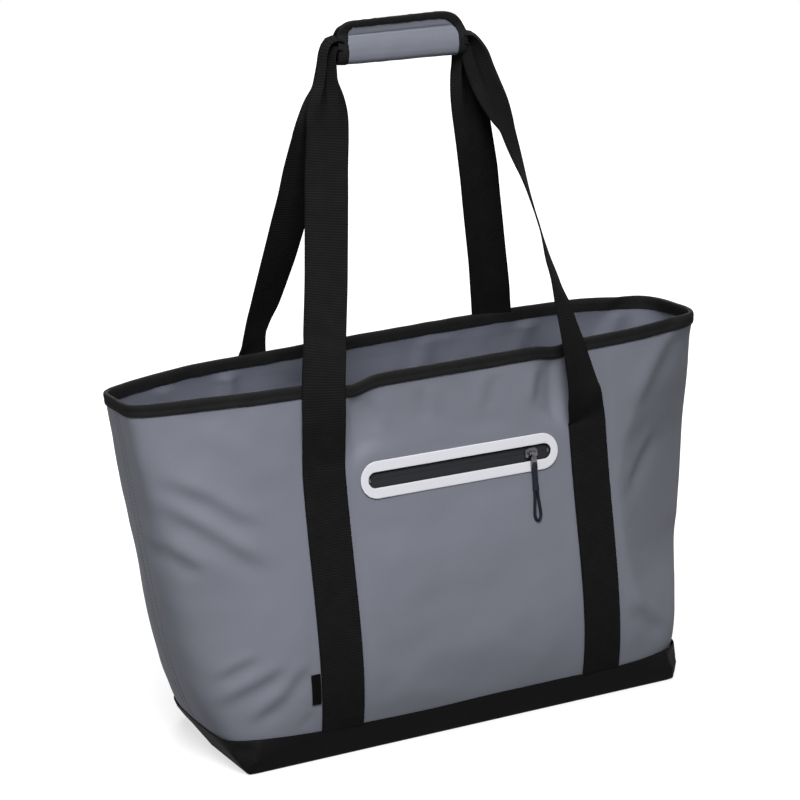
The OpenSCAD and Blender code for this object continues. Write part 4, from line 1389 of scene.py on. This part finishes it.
# Section of the rim binding: depth in millimetres and height as a share of its own, from its outer top edge
RIM_SECTION = ((-1.0, -1.0), (-1.15, -0.92), (-1.15, -0.66), (-0.7, -0.55), (-1.1, -0.44), (-1.0, -0.22),
               (-0.8, -0.12), (-0.4, -0.04), (0.3, 0.0), (1.3, -0.02), (2.3, 0.0), (3.05, -0.04),
               (3.45, -0.12), (3.64, -0.25), (3.64, -0.6), (3.64, -1.0), (3.0, -1.0), (2.95, -0.4),
               (2.4, -0.14), (1.3, -0.1), (0.1, -0.14), (-0.35, -0.4), (-0.35, -1.0))


class BAG_OT_rim(Operator):
    """Binding folded over the rim"""
    bl_idname = "bag.rim"
    bl_label = "Rim binding"

    def execute(self, context):
        shell = Shell()
        top, tape = shell.height, sizes().rim_tape
        section = RIM_SECTION + RIM_SECTION[:1]
        edges = lengths([(inset * MM, down * tape) for inset, down in section])
        grid, flat = [], []
        for (inset, down), edge in zip(section, edges):
            _, points, normals = shell.loop(min(top + down * tape, top), 0.0, 261)
            uneven = bumps(points, 60.0, (0, 0, 5))
            made = shell.slacken(points, normals, np.full(len(points), inset * MM))
            made = made + normals * (0.35 * MM * uneven)[:, None]
            made[:, 2] += 0.5 * MM * uneven * (1.0 if down < -0.7 else 0.4)
            grid.append(made)
            run = lengths(points)
            run = np.append(run, run[-1] + 0.004)
            flat.append(np.column_stack([np.full(len(run), edge), run]))
        piece = skin("rim_edge", grid, flat, around=True, angle=60)
        wear(piece, "bag", binding(), "tape", "rim_binding")
        return {"FINISHED"}


# Handles

# Free webbing above its sewn part: place in millimetres, turn about its line in degrees, share of its width
LEGS = {
    "front_left": (
        (-125.5, -68.5, 292, -5, 1), (-122.5, -64, 322, -6, 1), (-117.5, -57.5, 344, -6, 1),
        (-113.5, -50.5, 357, -6, 1), (-104.5, -37.5, 393, -6, 1), (-99, -29, 420, -6, 1),
        (-92, -18.5, 462, -7, 1), (-88.5, -13.5, 486, -6, 1), (-84.5, -9, 510, -4, 1),
        (-82.5, -7, 530, -2, 0.98), (-81.3, -6.2, 543, 2, 0.86), (-80.6, -5.6, 556, 4, 0.62),
        (-79.5, -5.2, 568, 2, 0.48), (-78, -5, 579, 0, 0.42), (-74, -5, 585.5, 0, 0.40),
        (-67, -5, 584, 0, 0.36)),
    "front_right": (
        (121.5, -73, 272, 8, 1), (117.5, -74, 291, 23, 1), (110, -71, 328, 35, 1),
        (106.8, -62, 357, 40, 1), (105.6, -51, 379, 48, 1), (104, -44.5, 393, 52, 1),
        (102.2, -35, 417, 58, 1), (98.6, -26, 442, 57.5, 1), (94.3, -18, 467, 53, 1),
        (87.7, -12.5, 493, 46, 1), (84, -10, 508, 42, 1), (78.3, -8.5, 522, 33, 0.98),
        (71.7, -7, 536.5, 24, 0.92), (65.7, -6, 551, 14, 0.82), (61, -5.5, 564.5, 8, 0.74),
        (56.5, -5.2, 575, 3, 0.56), (52, -5, 580.5, 0, 0.42), (47, -5, 581, 0, 0.36)),
    "back_left": (
        (-125, 75.5, 290, 12, 1), (-123.5, 74.5, 319, 28, 1), (-122.5, 68, 335.5, 31, 1),
        (-120.6, 62, 349, 28, 1), (-117.9, 56, 362.5, 23.5, 1), (-115.7, 50, 376.5, 20, 1),
        (-111.7, 38, 404, 15.5, 1), (-107.7, 28, 430.5, 14, 1), (-102.9, 20.5, 456.5, 14, 1),
        (-99, 14, 482, 15, 1), (-92.5, 9.3, 507.5, 16, 1), (-84.5, 7, 528.5, 14, 0.92),
        (-77.5, 6.3, 543, 8, 0.74), (-74.5, 5.8, 556, 3, 0.56), (-73.5, 5.4, 568, 0, 0.46),
        (-71.5, 5, 577, 0, 0.40), (-67, 5, 581, 0, 0.36)),
    "back_right": (
        (117.5, 67.5, 290, -6, 1), (108, 61.5, 321, -8, 1), (100.4, 51, 349.5, -7.5, 1),
        (93.3, 42, 379, -3, 1), (85.8, 33, 408, -2, 1), (78.8, 25, 436.5, -1, 1), (72, 17, 465, 0, 1),
        (65.7, 11, 492, 2, 0.98), (62.5, 9, 508, 3, 0.97), (59.6, 7.5, 522, 3, 0.93),
        (57, 6.5, 536, 3, 0.84), (55, 5.8, 550, 2, 0.70), (53.8, 5.4, 562, 0, 0.54),
        (52, 5, 573, 0, 0.44), (47, 5, 580, 0, 0.36)),
}


# Height up to which the straps follow the panel
SEWN_TOP = 0.254


def strap_run(shell, sx, side, inset=0.0):
    """Middle line, directions across and heights of one sewn strap, from the boot to the rim."""
    heights = np.linspace(shell.boot + 0.0003, shell.height + 0.0006, 110)
    level = np.minimum(heights, shell.height)
    stand = smooth((heights - shell.height + 0.080) / 0.070)
    centre = sx * (shell.strap_x - 0.006 * stand)
    lines = []
    for off in (-0.5, 0.0, 0.5):
        points, normals = shell.face(centre + off * shell.web, level, side)
        gap = -(0.0005 + 0.0009 * stand + sizes().web_thick / 2) - inset
        made = shell.slacken(points, normals, gap, 0.3)
        made[:, 2] += heights - level
        lines.append(made)
    return lines[1], lines[2] - lines[0], heights


class BAG_OT_straps(Operator):
    """Webbing: sewn to the panels from the boot up, free above and gathered at the grip"""
    bl_idname = "bag.straps"
    bl_label = "Webbing"

    def execute(self, context):
        shell = Shell()
        s = sizes()
        for place, stations in LEGS.items():
            side = -1 if place.startswith("front") else 1
            sx = -1 if place.endswith("left") else 1
            path, across, heights = strap_run(shell, sx, side)
            facing = unit(np.cross(across, np.gradient(path, axis=0)))
            sewn = [i for i in range(0, len(path), 3) if heights[i] < SEWN_TOP]
            line = [(*path[i], *facing[i], 1.0) for i in sewn]
            for x, y, z, turn, share in stations:
                turn = math.radians(turn)
                line.append((x * MM, y * MM, z * MM, math.sin(turn), -math.cos(turn), 0.0, share))
            line = curve_through(line, 210)
            points = line[:, :3]
            wide = np.cross(np.gradient(points, axis=0), line[:, 3:6])
            widths = list(s.web_width * np.minimum(line[:, 6], 1))
            piece = ribbon("webbing_" + place, points, wide, widths, s.web_thick)
            wear(piece, None, webbing(), "webbing", "strap_" + place, "leg_" + place)
            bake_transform(piece)
        return {"FINISHED"}


# Pocket

# Half length of the zip tapes, and distance of the stops from the middle in millimetres
TAPE_HALF, STOP_X = 0.090, 86
# Pouch: heights of its bottom and its top, height of its front wall's edge and half its width
POUCH_LOW, POUCH_HIGH, POUCH_LIP, POUCH_HALF = 0.1, 0.247, 0.2165, 0.091
# Depth of both faces of the front and of the back wall, and where they meet, in millimetres
POUCH_WALLS, POUCH_SEAM = ((1.15, 1.5), (5.15, 5.5)), 3.3


class BAG_OT_pocket(Operator):
    """Reflective surround, zip tapes, stops and pouch of the pocket"""
    bl_idname = "bag.pocket"
    bl_label = "Zip pocket"

    def execute(self, context):
        shell = Shell()
        pocket = PocketFrame(shell)
        self.surround(pocket)
        self.tapes(pocket)
        self.stops(pocket)
        self.pouch(shell)
        return {"FINISHED"}

    @staticmethod
    def surround(pocket):
        s = sizes()
        long, tall = s.pocket_length, s.pocket_width
        steps = [(1.0, 0.55), (1.0, 0.82), (0.985, 1.0), (0.93, 1.05), (0.75, 1.05), (0.5, 1.05),
                 (0.25, 1.05), (0.06, 1.05), (0.012, 0.98), (0.0, 0.75), (0.0, 0.55), (0.5, 0.55)]
        outer, inner = (np.array(stadium(long - a, tall - b, 40)) for a, b in ((0.0, 0.0), (0.014, 0.018)))
        grid, flat = [], []
        for share, out in steps + steps[:1]:
            ring = outer * share + inner * (1 - share)
            made = []
            for x, v in ring:
                soft = noise.noise(Vector((x * 60, v * 60, 3.0))) * 0.12
                made.append(pocket.at(x, (out + (soft if out > 0.7 else 0)) * MM, v))
            grid.append(made)
            flat.append(np.vstack([ring, ring[:1]]))
        piece = skin("reflective_surround", grid, flat, around=True, angle=50)
        wear(piece, "bag", reflective(), "reflective_film", "pocket_surround")

    @staticmethod
    def tapes(pocket):
        profile = [(0.06, -2.25), (0.06, -1.9), (0.12, -1.74), (0.5, -1.68), (2.2, -1.7), (4.5, -1.72),
                   (7.5, -1.72), (11.15, -1.75), (11.15, -2.28), (7.5, -2.3), (4.5, -2.3), (2.2, -2.3),
                   (0.4, -2.3)]
        xs = np.linspace(-TAPE_HALF, TAPE_HALF, 61)
        for s, word in ((1, "upper"), (-1, "lower")):
            grid = [[pocket.at(x, out * MM, s * up * MM) for up, out in profile] for x in xs]
            flat = [[(x, s * up * MM) for up, _ in profile + profile[:1]] for x in xs]
            piece = skin("zip_tape_" + word, grid, flat, around=True, caps=True)
            wear(piece, "bag", zip_cloth(), "zip_tape", "pocket_tape_" + word)

    @staticmethod
    def stops(pocket):
        made = Solids(pocket.at)
        for s in (-1, 1):
            corners = ((-0.8, -1.6), (0.8, -1.6), (0.8, 1.6), (-0.8, 1.6))
            outline = [((s * STOP_X + a) * MM, b * MM) for a, b in corners]
            made.prism(outline, pocket.deck + 0.1 * MM, pocket.deck + 1.0 * MM, "uwv")
        wear(made.piece("zip_stops", 0.00035), "bag", zip_metal(), "gunmetal", "pocket_stops")

    @staticmethod
    def pouch(shell):
        """Flat bag behind the zip: two thin walls joined at the bottom and the sides."""
        zs, xs = np.linspace(POUCH_LOW, POUCH_HIGH, 40), np.linspace(-POUCH_HALF, POUCH_HALF, 45)
        x, z = np.meshgrid(xs, zs)
        points, normals = shell.face(x, z, -1)
        edge = np.minimum(smooth((POUCH_HALF - np.abs(x)) / 0.006), smooth((z - POUCH_LOW) / 0.006))
        layers = []
        for inset in POUCH_WALLS:
            depth = [POUCH_SEAM * (1 - edge) + v * edge for v in inset]
            layers.append([shell.slacken(points, normals, d * MM) for d in depth])
        flat = np.stack([x, z], -1)
        front_rows = int(np.sum(zs < POUCH_LIP))
        front = slab("pouch_front", layers[0][0][:front_rows], layers[0][1][:front_rows], flat[:front_rows])
        back = slab("pouch_back", layers[1][0], layers[1][1], flat)
        for piece, tall, nodes in ((front, 0.1165, ()), (back, 0.147, ("pocket_pouch",))):
            wear(piece, "bag", binding(), "tape", *nodes)


# Closure

# Where the lid's fixed ends begin, half the slot that its zip runs in and where the slot stops
LID_END, LID_SLOT, SLOT_STOP = 0.1506, 0.009, 0.220
# Half thickness of the fixed ends, and height of the lid's puller pin and the puller's lean in degrees
LID_HALF, LID_PIN, LID_LEAN = 0.0015, 0.0064, 8


def soft_pad(name, xs, ys, z, half):
    """Padded flap between lengths and depths, thinner and rounded at its edges."""
    x, y = np.meshgrid(xs, ys, indexing="ij")
    ex = np.minimum(x - xs[0], xs[-1] - x)
    ey = np.minimum(y - min(ys), max(ys) - y)
    edge = np.clip(np.minimum(ex, ey) / (1.6 * half), 0, 1)
    thick = half * np.sqrt(np.clip(1 - (1 - edge) ** 2, 0.0, 1)) + 0.00002
    soft = bumps(np.stack([x * 40, y * 40, np.full(x.shape, 2.0)], -1), 1.0)
    thick = np.minimum(thick + 0.00015 * smooth(edge) * (soft - 1), half)
    outer, inner = np.stack([x, y, z + thick], -1), np.stack([x, y, z - thick], -1)
    return slab(name, outer, inner, np.stack([x, y], -1), angle=60)


def rounded_steps(low, high, count):
    """Stations from low to high, closer together at both ends for a rounded edge."""
    ends = np.array((0.0, 0.0004, 0.0012))
    return np.concatenate([low + ends, np.linspace(low + 0.0024, high - 0.0024, count), (high - ends)[::-1]])


class BAG_OT_closure(Operator):
    """Zipped lid below the rim: flaps, ends, tapes, slider and puller"""
    bl_idname = "bag.closure"
    bl_label = "Zipped lid"

    def execute(self, context):
        shell = Shell()
        low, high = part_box("closure_flap_front")
        lid_z = (low.z + high.z) / 2
        half = (high.z - low.z) / 2
        xs, ys = rounded_steps(low.x, high.x, 61), rounded_steps(LID_SLOT, -low.y, 16)
        for side, word in SIDES:
            piece = soft_pad("lid_" + word, xs, ys if side > 0 else -ys[::-1], lid_z, half)
            wear(piece, "closure_" + word, tarpaulin(), "tarpaulin", "closure_flap_" + word)
        self.ends(shell, lid_z)
        self.tapes(lid_z, low.x, high.x)
        self.slider(lid_z)
        return {"FINISHED"}

    @staticmethod
    def ends(shell, lid_z):
        loop, _, _ = shell.loop(lid_z, 0.0094, 301)
        for s, word in ENDS:
            edge = loop[loop[:, 0] * s > 0.1512][:, :2]
            edge = edge[np.argsort(np.arctan2(edge[:, 1], edge[:, 0] * s - 0.1))]
            slot = [(LID_END, LID_SLOT), (SLOT_STOP, LID_SLOT), (SLOT_STOP, -LID_SLOT), (LID_END, -LID_SLOT)]
            outline = [(s * LID_END, edge[0][1])] + [tuple(p) for p in edge] + [(s * LID_END, edge[-1][1])]
            outline += [(s * x, y) for x, y in slot]
            made = Solids()
            made.prism(outline, lid_z - LID_HALF, lid_z + LID_HALF)
            piece = made.piece("lid_end_" + word, 0.0009, 20.0)
            flat_map(piece)
            wear(piece, "bag", tarpaulin(), "tarpaulin", "closure_end_" + word)

    @staticmethod
    def tapes(lid_z, x0, x1):
        profile = [(0.6, 1.62), (0.6, 2.1), (1.4, 2.18), (6, 2.2), (10, 2.2), (14, 2.15), (14, 1.62),
                   (10, 1.6), (6, 1.6)]
        xs = np.linspace(x0, x1, 81)
        for s, word in SIDES:
            grid = [[(x, s * a * MM, lid_z + b * MM) for a, b in profile] for x in xs]
            flat = [[(x, a * MM) for a, _ in profile + profile[:1]] for x in xs]
            piece = skin("lid_tape_" + word, grid, flat, around=True, caps=True)
            wear(piece, "closure_" + word, zip_cloth(), "zip_tape", "closure_tape_" + word)
        tail = [(LID_END, -0.014), (LID_END, -0.0006), (0.215, -0.0006), (0.215, 0.0006), (LID_END, 0.0006),
                (LID_END, 0.014), (0.2225, 0.014), (0.2266, 0.010), (0.2266, -0.010), (0.2225, -0.014)]
        for s, word in ENDS:
            made = Solids()
            made.prism([(s * x, y) for x, y in tail], lid_z + 0.0016, lid_z + 0.0022)
            piece = made.piece("lid_tail_" + word, 0.0)
            flat_map(piece)
            wear(piece, "bag", zip_cloth(), "zip_tape", "closure_tail_" + word)

    @staticmethod
    def slider(lid_z):
        low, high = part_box("closure_slider")
        park = (low.x + high.x) / 2
        c, s = math.cos(math.radians(LID_LEAN)), math.sin(math.radians(LID_LEAN))

        def place(u, v, w):
            return (park + u, w, lid_z + v)

        def hang(u, v, w):
            return (park - w * c + v * s, u, lid_z + LID_PIN + w * s + v * c)

        slider = slider_solids(place, 0.0022, LID_PIN, "uvw").piece("lid_slider", 0.0004)
        wear(slider, "closure_slider", zip_metal(), "gunmetal", "closure_slider")
        puller = puller_piece("lid_puller", hang, 0.022, 0.017)
        wear(puller, "closure_pull", zip_metal(), "gunmetal", "closure_puller")


def flat_map(piece):
    """Flat coordinates of a level piece, seen from above."""
    layer = piece.data.uv_layers.new(name="cloth")
    for loop in piece.data.loops:
        at = piece.data.vertices[loop.vertex_index].co
        layer.data[loop.index].uv = (at.x, at.y)


# Grip

# Half thickness of the wrap's padding and width of its binding on one side, in millimetres
WRAP_PAD, WRAP_TAPE = 1.5, 5.4
# Crease of the front half: distance below its upper edge, slope along the grip and half width
CREASE_DOWN, CREASE_SLOPE, CREASE_HALF = 0.0124, 0.02, 0.0011


class BAG_OT_grip(Operator):
    """Padded wrap round the gathered webbing, with its bindings and fastening patches"""
    bl_idname = "bag.grip"
    bl_label = "Grip wrap"

    def execute(self, context):
        form = WrapForm()
        for name, span in form.spans:
            piece = self.panel(form, f"wrap_{name}_cloth", span)
            self.join(piece, tarpaulin(), "tarpaulin", "wrap_" + name)
        for name, span in form.spans:
            piece = self.edge(form, f"wrap_{name}_edge", span)
            self.join(piece, binding(), "tape", f"wrap_{name}_binding")
        self.patches(form)
        self.core(form)
        return {"FINISHED"}

    @staticmethod
    def join(piece, material, slot, node):
        """Back pieces ride on the handle; flap pieces get no body and their transform is baked."""
        if node.startswith("wrap_back"):
            wear(piece, "carry_handle", material, slot, node)
            return
        wear(piece, None, material, slot, node)
        WrapForm.bend(piece)

    @staticmethod
    def panel(form, name, span):
        """Padded half of the wrap, thinner toward its edges and creased on the front below its upper edge."""
        rows = np.linspace(max(span[0], form.HEM), min(span[1], form.total - form.HEM), 56)
        shares = np.linspace(0, 1, 71)

        def swell(k, r, left, right, proud):
            top = min(r, form.total - r)
            near = min(top - form.HEM, k - left, right - k)
            thick = proud * (0.45 + 0.55 * min(1.0, near / 0.009))
            if proud < 0:
                return thick
            off = (top - CREASE_DOWN + CREASE_SLOPE * k) / CREASE_HALF
            crease = 0.5 * math.exp(-off ** 2) if r > form.hinge else 0.0
            return thick + noise.noise(Vector((k * 80, r * 60, 1.0))) * 0.3 - crease

        sides = []
        for proud in (WRAP_PAD, -WRAP_PAD):
            grid = []
            for r in rows:
                left, right = -form.reach(r, -1, form.HEM), form.reach(r, 1, form.HEM)
                line = left + (right - left) * shares
                grid.append([form.at(k, r, swell(k, r, left, right, proud) * MM) for k in line])
            sides.append(np.array(grid))
        flat = np.array([[((2 * k - 1) * form.half, r) for k in shares] for r in rows])
        return slab(name, sides[0], sides[1], flat, angle=60)

    @staticmethod
    def edge_line(form, span, inset):
        """Line along the open edge of one side of the wrap: up one end, along the top and down the other."""
        at_top = span[0] if span[0] == 0.0 else span[1]
        at_fold = span[1] if span[0] == 0.0 else span[0]
        up = 1 if at_top > at_fold else -1
        line = []
        for end in (-1, 1):
            wide, tall = form.CORNERS[end]
            rises = np.linspace(at_fold, at_top - up * tall, 26)
            part = [(end * (form.half - 1.7 * inset), r) for r in rises]
            for t in np.linspace(0, math.pi / 2, 14)[1:]:
                part.append((end * (form.half - wide + (wide - 1.7 * inset) * math.cos(t)),
                             at_top - up * (tall - (tall - inset) * math.sin(t))))
            line.append(part)
        left, right = line
        middle = [(k, at_top - up * inset) for k in np.linspace(left[-1][0], right[-1][0], 40)[1:-1]]
        return left + middle + right[::-1]

    @classmethod
    def edge(cls, form, name, span):
        """Binding folded over the edge of the wrap."""
        half = [(WRAP_TAPE, 1.1), (WRAP_TAPE, 1.55), (WRAP_TAPE - 0.6, 1.7), (3.2, 1.65), (1.0, 1.3),
                (0.25, 0.9), (0.0, 0.4)]
        section = half + [(d, -out) for d, out in half[::-1]] + [(1.4, -0.8), (0.9, 0.0), (1.4, 0.8)]
        lines = {d: cls.edge_line(form, span, d * MM) for d in {d for d, _ in section}}
        widths = lengths([(d * MM, out * MM) for d, out in section + section[:1]])
        grid, edge = [], []
        for i, (k, r) in enumerate(lines[0.0]):
            pucker = noise.noise(Vector((k * 210, r * 210, 4.0))) * 0.5 * MM
            row = []
            for d, out in section:
                along, round_at = lines[d][i]
                along = along - math.copysign(pucker * d / WRAP_TAPE, along)
                row.append(form.at(along, round_at, out * MM + (pucker if out > 0.5 else 0.0)))
            grid.append(row)
            edge.append(row[len(half) - 1])
        flat = [[(w, run) for w in widths] for run in lengths(edge)]
        return skin(name, grid, flat, around=True, caps=True, angle=60)

    @staticmethod
    def patches(form):
        along, down = np.linspace(-0.045, 0.045, 40), np.linspace(0.0035, 0.0095, 7)
        for name, node, body in (("loop_patch", "wrap_loop_patch", "carry_handle"),
                                 ("hook_patch", "wrap_hook_patch", "wrap_flap")):
            rounds = down if body == "carry_handle" else form.total - down
            near, far = (np.array([[form.at(k, r, -proud * MM) for k in along] for r in rounds])
                         for proud in (1.1, 1.55))
            flat = np.array([[(k, r) for k in along] for r in rounds])
            wear(slab(name, near, far, flat), body, pile(), "tape", node)

    @staticmethod
    def core(form):
        """Webbing gathered inside the wrap, its ends showing at both ends."""
        s = sizes()
        xs = np.linspace(form.middle - form.half + 0.0005, form.middle + form.half - 0.0005, 40)
        upper = [(-0.8, 0.9), (-0.45, 0.55), (-0.1, 0.95), (0.25, 0.55), (0.6, 0.9), (0.95, 0.5)]
        folds = [(-1, 0.0)] + upper + [(1, 0.0)] + [(u, -d) for u, d in upper[::-1]]
        for side, word in SIDES:
            grid = [[(x, side * 0.0023 + d * 0.0019, s.grip_z + 0.0117 + u * 0.0063) for u, d in folds]
                    for x in xs]
            flat = [[(u * 0.019, x) for u, d in folds + folds[:1]] for x in xs]
            piece = skin("gathered_webbing_" + word, grid, flat, around=True, caps=True)
            wear(piece, "carry_handle", webbing(), "webbing", "grip_webbing_" + word)


class BAG_OT_label(Operator):
    """Small bare woven tab folded into the side of a strap"""
    bl_idname = "bag.label"
    bl_label = "Label tab"

    def execute(self, context):
        shell = Shell()
        low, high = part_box("label_tab")
        section = [(0, 0.5), (2.5, 0.52), (5, 0.6), (7, 0.72), (7.8, 0.95), (8, 1.15), (7.8, 1.4), (7, 1.58),
                   (5, 1.5), (2.5, 1.42), (0, 1.4), (0, 1.14), (2.5, 1.16), (5, 1.24), (6.8, 1.3), (7.5, 1.2),
                   (7.65, 1.12), (7.5, 1.05), (6.8, 0.98), (5, 0.86), (2.5, 0.78), (0, 0.76)]
        zs = np.linspace(low.z, high.z, 27)
        grid, flat = [], []
        for z in zs:
            xs = np.array([high.x - a * MM for a, _ in section])
            points, normals = shell.face(xs, np.full(len(xs), z), -1)
            curl = 0.5 * math.sin((z - low.z) / (high.z - low.z) * math.pi) * MM
            outs = np.array([b * MM + curl * (a / 8) ** 2 * 0.4 for a, b in section])
            grid.append(shell.slacken(points, normals, -outs))
            flat.append([(a * MM - 0.004, z) for a, _ in section + section[:1]])
        piece = skin("label", grid, flat, around=True, caps=True)
        wear(piece, "bag", label_weave(), "tape", "label_tab")
        return {"FINISHED"}


# Stitching

# Half lengths of a sewing stitch along its row, across it and in height
STITCH = dict(Along=0.0010, Across=0.00026, Height=0.00026)
EDGE_STITCH = dict(Along=0.0009, Across=0.00024, Height=0.00024)
# Distance of the strap rows from the middle of the webbing, and height of the uppermost row across it
STRAP_ROW, STRAP_ROW_TOP = 0.0158, 0.258
# Heights between which the side seams are sewn, and distance of their rows from the seam
SEAM_LOW, SEAM_HIGH, SEAM_ROW = 0.034, 0.306, 0.005


class BAG_OT_stitching(Operator):
    """Rows of stitches and the zip coils"""
    bl_idname = "bag.stitching"
    bl_label = "Stitching"

    def execute(self, context):
        shell = Shell()
        pitch = sizes().stitch_pitch
        for name, lines, thread, slot in (
                ("black_stitches", self.strap_rows(shell) + self.rim_rows(shell), black_thread(), "webbing"),
                ("seam_stitches", self.seam_rows(shell), grey_thread(), "tarpaulin")):
            wear(bead_rows(name, lines, thread, Pitch=pitch, **STITCH), "bag", thread, slot)
        self.coils()
        self.grip_rows(pitch)
        return {"FINISHED"}

    @staticmethod
    def strap_rows(shell):
        """Rows along both edges of the sewn straps, and across them at their ends."""
        rows = []
        for sx in (-1, 1):
            for side in (-1, 1):
                path, across, heights = strap_run(shell, sx, side, sizes().web_thick / 2 - 0.00005)
                across = unit(across)
                upto = int(np.searchsorted(heights, STRAP_ROW_TOP))
                for off in (-STRAP_ROW, STRAP_ROW):
                    rows.append(path[2:upto] + across[2:upto] * off)
                offs = np.linspace(-STRAP_ROW, STRAP_ROW, 9)
                for row in (upto - 1, upto - 8, 4):
                    rows.append([path[row] + across[row] * off for off in offs])
        return rows

    @staticmethod
    def rim_rows(shell):
        """Rows round the rim binding, outside and inside."""
        rows, s = [], sizes()
        for down, inset in ((-0.55, -0.75), (-0.82, 3.7)):
            _, points, normals = shell.loop(s.height + down * s.rim_tape, 0.0, 261)
            line = shell.slacken(points, normals, np.full(len(points), inset * MM))
            rows.append(np.vstack([line, line[:1]]))
        return rows

    @staticmethod
    def seam_rows(shell):
        """Rows on both sides of the side seams."""
        rows = []
        for side in (-1, 1):
            for first, step in ((0, 1), (-1, -1)):
                line = []
                for z in np.linspace(SEAM_LOW, SEAM_HIGH, 70):
                    points, normals, run = shell.half_ring(z, side, 600)
                    k = first + step * int(np.searchsorted(run - run[0], SEAM_ROW))
                    line.append(shell.slacken(points[k], normals[k], np.array(-0.0001)))
                rows.append(line)
        return rows

    @staticmethod
    def coils():
        low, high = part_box("closure_tape_front")
        for side, word in SIDES:
            line = [(x, side * 0.0012, high.z + 0.00002) for x in (low.x + 0.0008, high.x - 0.0008)]
            coil = bead_rows("lid_coil_" + word, [line], black_thread(), Pitch=0.0014, Along=0.0005,
                             Across=0.0011, Height=0.00034, Side=(0.0, 1.0, 0.0))
            wear(coil, "closure_" + word, black_thread(), "zip_tape")

    @staticmethod
    def grip_rows(pitch):
        form = WrapForm()
        for name, span in form.spans:
            line = BAG_OT_grip.edge_line(form, span, 0.0044)
            rows = [[form.at(k, r, 0.00178) for k, r in line]]
            piece = bead_rows(f"wrap_{name}_stitches", rows, black_thread(), Pitch=pitch * 0.85,
                              **EDGE_STITCH)
            wear(piece, "carry_handle" if name == "back" else None, black_thread(), "tape")
            if name == "flap":
                form.bend(piece)


class BAG_PT_pieces(Panel):
    """Lists the pieces of the bag and their sizes"""
    bl_label = "Cooler bag"
    bl_idname = "BAG_PT_pieces"
    bl_space_type = "VIEW_3D"
    bl_region_type = "UI"
    bl_category = "Cooler bag"

    def draw(self, context):
        for group in (context.scene.bag_sizes, context.scene.bag_colours):
            box = self.layout.box()
            for key in group.__annotations__:
                box.prop(group, key)
        for operator in OPERATORS:
            self.layout.operator(operator.bl_idname)


OPERATORS = (BAG_OT_stage, BAG_OT_zip_pull, BAG_OT_panels, BAG_OT_boot, BAG_OT_insulation, BAG_OT_rim,
             BAG_OT_straps, BAG_OT_pocket, BAG_OT_closure, BAG_OT_grip, BAG_OT_label, BAG_OT_stitching)
CLASSES = (BagSizes, BagColours) + OPERATORS + (BAG_PT_pieces,)


def register():
    for cls in CLASSES:
        bpy.utils.register_class(cls)
    bpy.types.Scene.bag_sizes = PointerProperty(type=BagSizes)
    bpy.types.Scene.bag_colours = PointerProperty(type=BagColours)


def unregister():
    del bpy.types.Scene.bag_colours
    del bpy.types.Scene.bag_sizes
    for cls in reversed(CLASSES):
        bpy.utils.unregister_class(cls)


def main():
    register()
    for operator in OPERATORS:
        group, name = operator.bl_idname.split(".")
        getattr(getattr(bpy.ops, group), name)()


if __name__ == "__main__":
    main()
